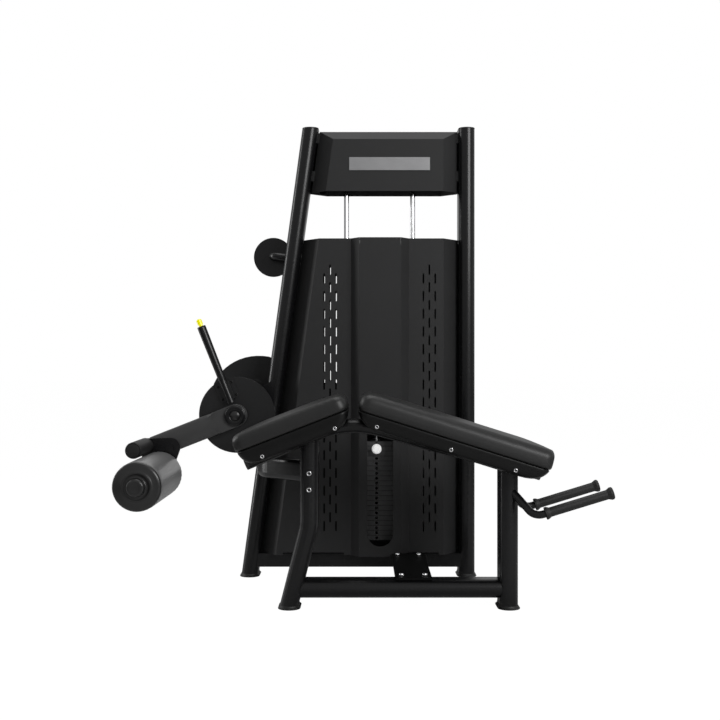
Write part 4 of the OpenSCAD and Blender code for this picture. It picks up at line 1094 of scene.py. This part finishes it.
@dataclass
class FlatSheet(SubAssembly):
    """Thin upright sheets with rounded corners, facing forward: rings of the outline stacked."""

    spots: Spots
    halves: Sequence[Pair]
    thick: float = 1.4
    corner: float = 6.0
    bevel: float = 0.2
    margin: float = 3.0

    def grid(self) -> Grid:
        """One sheet at each spot.

        Returns:
            Points and faces.
        """
        half_inset = np.array([self.margin, self.bevel, 0.0])
        inset = np.concatenate([half_inset, half_inset[::-1]])
        low = np.array([0.0, 0.0, self.bevel])
        height = np.concatenate([low, self.thick - low[::-1]])
        outline = RoundedOutline(corner_n=8, side_n=8, end_n=8)
        points = []
        for at, (wide, tall) in zip(self.spots, self.halves):
            rings = outline.rings(wide - inset, tall - inset, self.corner - 0.5 * inset)
            points.append(stand_on(with_height(rings, height[:, None]), at, FRONT))
        rows, count = points[0].shape[:2]
        return np.stack(points), repeat_faces(closed_faces(rows, count), len(points), rows * count)


@dataclass
class TautCable(SubAssembly):
    """Upright stretch of cable from a low end up to the cable's top, turned round Z and closed on its axis at
    both ends.
    """

    at: Pair
    low: float
    joint: str
    axis: Triple
    keep: float

    def grid(self) -> Grid:
        """Rings from the low end to the top, closed on the axis.

        Returns:
            Points and faces.
        """
        heights = np.linspace(self.low, CABLE_TOP, 40)
        size = np.concatenate([[0.0], np.full(len(heights), CABLE_RADIUS), [0.0]])
        rise = np.concatenate([heights[:1], heights, heights[-1:]])
        points = lathe(size[:, None], rise[:, None], CABLE_SIDES) + np.array([*self.at, 0.0])
        return points, ring_faces(len(size), CABLE_SIDES)

    def build(self, palette: Palette) -> bpy.types.Object:
        """Makes the stretch and gives it a mesh of its own.

        Args:
            palette: The finishes.

        Returns:
            The cable.
        """
        thing = super().build(palette)
        anchor = to_row(np.array([*self.at, CABLE_TOP]))
        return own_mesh(thing)


@dataclass
class PulleyCable(SubAssembly):
    """Stretch of cable that bends a quarter turn over one pulley and a quarter turn off the next.

    The path is two quarter circles joined by a level line. A ring stands square to it: its centre
    plus the cable's radius times cos along the level side and sin along the path's normal.
    """

    bend: float = 33.0
    steps: int = 10

    def grid(self) -> Grid:
        """Rings along the path, closed on it at both ends.

        Returns:
            Points and faces.
        """
        reach = np.array(STACK_SIDE) - np.array(CAM_SIDE)
        span = float(np.linalg.norm(reach))
        along = np.array([*(reach / span), 0.0])
        side = np.array([-along[1], along[0], 0.0])
        quarter = np.linspace(0.0, math.pi / 2, self.steps)
        turn = np.concatenate([quarter, quarter + math.pi / 2])
        far = np.repeat([0.0, span - 2 * self.bend], self.steps) + self.bend * (1 - np.cos(turn))
        centre = np.outer(far, along) + np.outer(self.bend * np.sin(turn), UP)
        normal = np.outer(-np.cos(turn), along) + np.outer(np.sin(turn), UP)
        angle = full_turn(CABLE_SIDES)
        ring = np.cos(angle)[None, :, None] * side + np.sin(angle)[None, :, None] * normal[:, None]
        size = np.concatenate([[0.0], np.full(len(turn), CABLE_RADIUS), [0.0]])[:, None, None]
        rows = np.concatenate([[0], np.arange(len(turn)), [len(turn) - 1]])
        points = centre[rows][:, None] + size * ring[rows] + np.array([*CAM_SIDE, CABLE_TOP])
        return points, ring_faces(len(size), CABLE_SIDES)


@dataclass(frozen=True)
class Lamp:
    """One rectangular lamp: its place and aim in row metres, its width and height, and watts."""

    name: str
    at: Triple
    aim: Triple
    size: Pair
    power: float

    def build(self, scene: bpy.types.Scene) -> None:
        """Makes the lamp and turns it to its aim.

        Args:
            scene: The scene.
        """
        data = bpy.data.lights.new(self.name, "AREA")
        data.shape = "RECTANGLE"
        data.size, data.size_y = self.size
        data.energy = self.power
        lamp = bpy.data.objects.new(self.name, data)
        lamp.location = self.at
        back = np.array(self.at) - np.array(self.aim)
        flat = math.hypot(back[0], back[1])
        lamp.rotation_euler = (math.atan2(flat, back[2]), 0.0, math.atan2(back[0], -back[1]))
        scene.collection.objects.link(lamp)


LAMPS = (
    Lamp("key_soft", (2.7, -3.4, 2.4), (0.0, 0.0, 0.7), (2.2, 1.6), 112.0),
    Lamp("top_soft", (0.0, 0.2, 3.4), (0.0, 0.0, 0.6), (2.0, 2.0), 24.0),
    Lamp("left_strip", (-3.0, 0.8, 1.3), (0.1, 0.0, 0.8), (0.5, 2.4), 30.0),
)


@dataclass(frozen=True)
class Studio:
    """White studio: floor, soft lamps, world and the camera of the photograph."""

    camera_mm: Triple = (0.0, -3700.0, 810.0)
    lens: float = 56.25
    sensor: float = 36.0
    seen_light: float = 0.92
    mirrored_light: float = 0.46
    base_light: float = 0.08
    floor_reach: float = 40.0
    floor_glow: float = 1.1
    floor_white: float = 0.9

    def build(self) -> None:
        """Makes the floor, lamps, world and camera, and sets the view transform."""
        scene = bpy.context.scene
        scene.view_settings.view_transform = "Standard"
        self.make_camera(scene)
        self.make_world(scene)
        self.make_floor(scene)
        for lamp in LAMPS:
            lamp.build(scene)

    def make_camera(self, scene: bpy.types.Scene) -> None:
        """Camera that looks along +Y, level, with the photograph's field of view."""
        data = bpy.data.cameras.new("photo_camera")
        data.lens = self.lens
        data.sensor_width = self.sensor
        camera = bpy.data.objects.new("photo_camera", data)
        camera.location = to_row(np.array(self.camera_mm)).tolist()
        camera.rotation_euler = (math.pi / 2, 0.0, 0.0)
        scene.collection.objects.link(camera)
        scene.camera = camera

    def make_world(self, scene: bpy.types.Scene) -> None:
        """World that looks white and lights the object more softly."""
        world = bpy.data.worlds.new("white_room")
        scene.world = world
        graph = Graph(world)
        path = graph.add("ShaderNodeLightPath", {}, {})
        seen = Sock(graph, path.outputs["Is Camera Ray"])
        seen = seen + Sock(graph, path.outputs["Is Transmission Ray"])
        mirrored = Sock(graph, path.outputs["Is Glossy Ray"])
        strength = seen * self.seen_light + mirrored * self.mirrored_light + self.base_light
        graph.show("ShaderNodeBackground", {"Color": WHITE, "Strength": strength}, "ShaderNodeOutputWorld")

    def make_floor(self, scene: bpy.types.Scene) -> None:
        """Wide pale floor that keeps a soft shadow and looks white to the camera."""
        mesh = bpy.data.meshes.new("studio_floor")
        corners = np.array([(-1, -1, 0), (1, -1, 0), (1, 1, 0), (-1, 1, 0)]) * self.floor_reach
        mesh.from_pydata(corners.tolist(), [], [(0, 1, 2, 3)])
        material = bpy.data.materials.new("studio_floor")
        graph = Graph(material)
        seen = graph.value("ShaderNodeLightPath", {}, {}, "Is Camera Ray")
        speckle = graph.noise(graph.place(), 30.0)
        pale = graph.blend(speckle, (0.86, 0.86, 0.86, 1.0), (0.9, 0.9, 0.9, 1.0))
        matte = graph.value("ShaderNodeBsdfDiffuse", {}, {"Color": pale})
        glow = graph.value("ShaderNodeEmission", {}, {"Color": WHITE, "Strength": self.floor_glow})
        graph.show("ShaderNodeMixShader", {0: seen * self.floor_white, 1: matte, 2: glow})
        mesh.materials.append(material)
        floor = bpy.data.objects.new("studio_floor", mesh)
        scene.collection.objects.link(floor)


def pad_pieces() -> list[SubAssembly]:
    """Both cushions, the shells under them and the screws on the shells' sides."""
    hide, plastic = ("pad_hide",), ("shell_plastic",)
    shells = [
        PadShell(Piece("thigh_pad_shell", Body.FRAME, plastic, "black_plastic", ("thigh_shell",)),
                 THIGH, 26.0, 44.0, ((323.8, 41.0), (77.6, 40.3)), 58.0),
        PadShell(Piece("torso_pad_shell", Body.FRAME, plastic, "black_plastic", ("torso_shell",)),
                 TORSO, 44.0, 40.0, ((74.5, 32.0), (320.3, 31.0), (534.9, 32.0)), 50.0),
    ]
    spots, normals = map(np.concatenate, zip(*(shell.screw_spots() for shell in shells)))
    return [
        PadCushion(Piece("thigh_pad", Body.FRAME, hide, "pad_cover", ("thigh_cushion",)), THIGH, 24.0, 54.0),
        PadCushion(Piece("torso_pad", Body.FRAME, hide, "pad_cover", ("torso_cushion",)),
                   TORSO, 32.0, 63.0, stern=0.45),
        *shells,
        FastenerSet(Piece("shell_screws", Body.FRAME, ("bolt_zinc", "socket_black"), "bare_steel"),
                    spots, normals, 8.0, 3.6),
    ]


FRONT_CAP = (
    (10.4, 0.3), (77.0, 0.3), (77.4, 2.0), (76.4, 6.5), (73.0, 10.0), (66.0, 12.0), (53.0, 12.6),
    (50.5, 14.0), (47.0, 15.6), (43.0, 15.6), (40.5, 14.2), (38.0, 12.8), (33.0, 12.6), (30.0, 13.6),
    (28.4, 17.0), (28.0, 29.0), (26.6, 33.0), (23.0, 35.4), (18.0, 36.0), (14.0, 35.2), (0.0, 34.6),
    (0.0, 15.2), (10.4, 15.2), (10.4, 0.3),
)
REAR_CAP = ((10.4, 0.3), (69.0, 0.3), (69.4, 2.0), (68.0, 5.0), (65.0, 6.0), (10.4, 6.0), (10.4, 0.3))
PEG_SLEEVE = (
    (0.0, 0.0), (27.2, 0.0), (27.4, 3.0), (27.4, 209.0), (26.8, 213.0), (25.0, 215.6), (21.0, 216.8),
    (8.0, 217.2), (0.0, 217.2),
)
CAM_PLUG = (
    (0.0, 0.0), (20.8, 0.0), (21.6, 0.15), (21.9, 0.5), (21.9, 14.7), (21.6, 15.05), (20.8, 15.2),
    (0.0, 15.2),
)
FRONT_BOSS = ((0.0, 0.0), (37.0, 0.0), (37.5, 0.5), (37.5, 5.5), (37.0, 6.0), (0.0, 6.0))
REAR_BOSS = ((0.0, 0.0), (34.5, 0.0), (35.0, 0.5), (35.0, 10.5), (34.6, 11.0), (0.0, 11.0))
LEVER_SLEEVE = (
    (12.6, 132.0), (13.1, 132.0), (13.4, 134.0), (14.4, 230.0), (15.3, 329.0), (15.1, 333.0),
    (14.2, 335.0), (12.6, 335.2), (12.6, 132.0),
)
HUB_RING = (
    (17.5, 0.0), (34.5, 0.0), (35.0, 1.5), (34.6, 4.0), (33.0, 5.4), (30.0, 5.8), (21.0, 5.8),
    (18.6, 5.0), (17.5, 3.0), (17.5, 0.0),
)
PEG_FOOT: Triple = (-745.48, 208.6, 511.97)
CAM_HOLES: tuple[Triple, ...] = (
    (-398.4, 647.2, 716.55), (-331.64, 647.2, 643.69), (-488.5, 647.2, 708.66),
)
BRACKET_FRONT = 269.0
BRACKET_ALONG = (92.0 - 23.5, 92.0 + 23.5)
BRACKET_ACROSS = (-25.5, 25.5)


def arm_pieces() -> list[SubAssembly]:
    """Arm with its hub, lever sleeve and screws, the cam's plugs, the peg and the whole roller."""
    turn = math.radians(LEVER_TURN)
    lever = np.array([math.cos(turn), 0.0, math.sin(turn)])
    across = np.array([lever[2], 0.0, -lever[0]])

    def hub(y: float) -> Triple:
        """Point on the arm's axis."""
        return (ARM_PIVOT[0], y, ARM_PIVOT[1])

    def roller(y: float) -> Triple:
        """Point on the roller's axis."""
        return (ROLLER_AXIS[0], y, ROLLER_AXIS[1])

    turned = (
        ("peg_sleeve", Body.ANKLE, "foot_rubber", "black_rubber", (), PEG_SLEEVE, (PEG_FOOT,), FRONT),
        ("cam_plugs", Body.CAM, "disc_coat", "frame_paint", (), CAM_PLUG, CAM_HOLES, FRONT),
        ("roller_front_cap", Body.ROLLER, "cap_plastic", "black_plastic", ("roller_caps",),
         FRONT_CAP, (roller(-200.0),), FRONT),
        ("roller_rear_cap", Body.ROLLER, "cap_plastic", "black_plastic", (),
         REAR_CAP, (roller(200.0),), BACK),
        ("arm_front_boss", Body.ARM, "disc_coat", "frame_paint", (), FRONT_BOSS, (hub(222.0),), FRONT),
        ("arm_rear_boss", Body.ARM, "disc_coat", "frame_paint", (), REAR_BOSS, (hub(264.0),), BACK),
        ("lever_sleeve", Body.ARM, "frame_coat", "frame_paint", (), LEVER_SLEEVE, (hub(253.0),), lever),
        ("hub_ring", Body.ARM, "frame_coat", "frame_paint", (), HUB_RING, (hub(216.0),), FRONT),
    )
    along, aside = np.meshgrid(BRACKET_ALONG, BRACKET_ACROSS, indexing="ij")
    screws = np.outer(along, lever) + np.outer(aside, across) + np.array(hub(BRACKET_FRONT))
    return [
        *(Turned(Piece(name, body, (finish,), slot, replaces), profile, spots, facing)
          for name, body, finish, slot, replaces, profile, spots, facing in turned),
        # The arm's lighter finish is painted light.
        ArmBody(Piece("arm_body", Body.ARM, ("arm_coat_painted_light",), "frame_paint", ("arm_tube",))),
        FastenerSet(Piece("bracket_screws", Body.ARM, ("flat_black", "socket_black"), "bare_steel"),
                    screws, (FRONT,) * len(screws), 4.6, 2.6),
        RollerCover(Piece("roller_cover", Body.ROLLER, ("roller_hide_painted_sheen",), "roller_cover", ("roller_sleeve",))),
    ]


FOOT_PROFILE = (
    (-29.5, 0.0), (-10.0, 0.0), (5.5, 0.0), (6.6, 0.8), (7.0, 2.0), (6.6, 3.4), (4.2, 4.6), (2.2, 6.0),
    (1.2, 8.2), (0.8, 12.0), (-3.0, 12.4), (-29.5, 12.4),
)
CAP_PROFILE = (
    (-29.5, -3.0), (-0.5, -3.0), (0.5, -2.6), (0.7, -1.0), (0.3, -0.1), (-2.0, 0.2), (-14.0, 0.3),
    (-29.5, 0.3),
)
FEET = ((400.0, 555.0, 0.0), (-413.36, 555.0, 0.0), (485.0, 0.0, 0.0), (-230.76, 0.0, 0.0))
UPRIGHT_TOPS = ((400.0, 555.0, 1680.0), (-185.8, 555.0, 1680.0))
LINK_BOLTS = tuple((175.0 + side * 38.7, y, 101.0) for side in (-1, 1) for y in (4.0, 392.0))
POST_BOLTS = ((-165.0, -60.0, 443.0), (-165.0, -60.0, 390.0))


def frame_fittings() -> list[SubAssembly]:
    """Feet, end caps and bolts of the frame, and dark sheets behind its slots and gaps, which are painted
    shade.
    """
    steel, black = ("bolt_zinc", "socket_black"), ("flat_black",)
    bolt_facing = (UP,) * len(LINK_BOLTS) + (FRONT,) * len(POST_BOLTS)
    return [
        OvalStack(Piece("foot_pads", Body.FRAME, ("foot_rubber",), "black_rubber", ("floor_feet",)),
                  FEET, FOOT_PROFILE),
        OvalStack(Piece("upright_caps", Body.FRAME, ("cap_plastic",), "black_plastic"),
                  UPRIGHT_TOPS, CAP_PROFILE),
        FastenerSet(Piece("frame_bolt_heads", Body.FRAME, steel, "bare_steel", ("frame_bolts",)),
                    LINK_BOLTS + POST_BOLTS, bolt_facing, head_h=7.0),
        # Dark sheets put behind the slots and gaps: painted shade.
        FlatSheet(Piece("slot_shade_sheet", Body.FRAME, black, "black_plastic"),
                  ((-111.0, 497.5, 445.0),), ((50.0, 280.0),)),
        FlatSheet(Piece("header_shade_sheets", Body.FRAME, black, "black_plastic"),
                  ((-172.0, 600.0, 1553.0), (365.0, 600.0, 1553.0)), ((42.0, 110.0), (25.0, 110.0))),
    ]


def cable_stretches() -> list[SubAssembly]:
    """The cable from the cam up, over both pulleys, and down to the stack."""
    jacket = ("cable_jacket",)
    return [
        PulleyCable(Piece("pulley_cable", Body.FRAME, jacket, "cable_coat", ("cable_run",))),
        TautCable(Piece("rise_cable", Body.FRAME, jacket, "cable_coat"),
                  CAM_SIDE, 616.0, "arm_lift", (0.954, 0.0, -0.3), 0.797),
        TautCable(Piece("drop_cable", Body.FRAME, jacket, "cable_coat", ("cable_drop",)),
                  STACK_SIDE, CLEVIS_TOP, "stack_lift", UP, 1 - STACK_TRAVEL / (CABLE_TOP - CLEVIS_TOP)),
    ]


def main() -> None:
    """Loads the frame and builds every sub-assembly in order."""
    logging.basicConfig(level=logging.INFO, format="%(message)s")
    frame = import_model()
    palette = Palette()
    palette.dress_nodes(frame["nodes"])
    Studio().build()
    for maker in [*pad_pieces(), *arm_pieces(), *cable_stretches(), *frame_fittings()]:
        maker.build(palette)


if __name__ == "__main__":
    main()
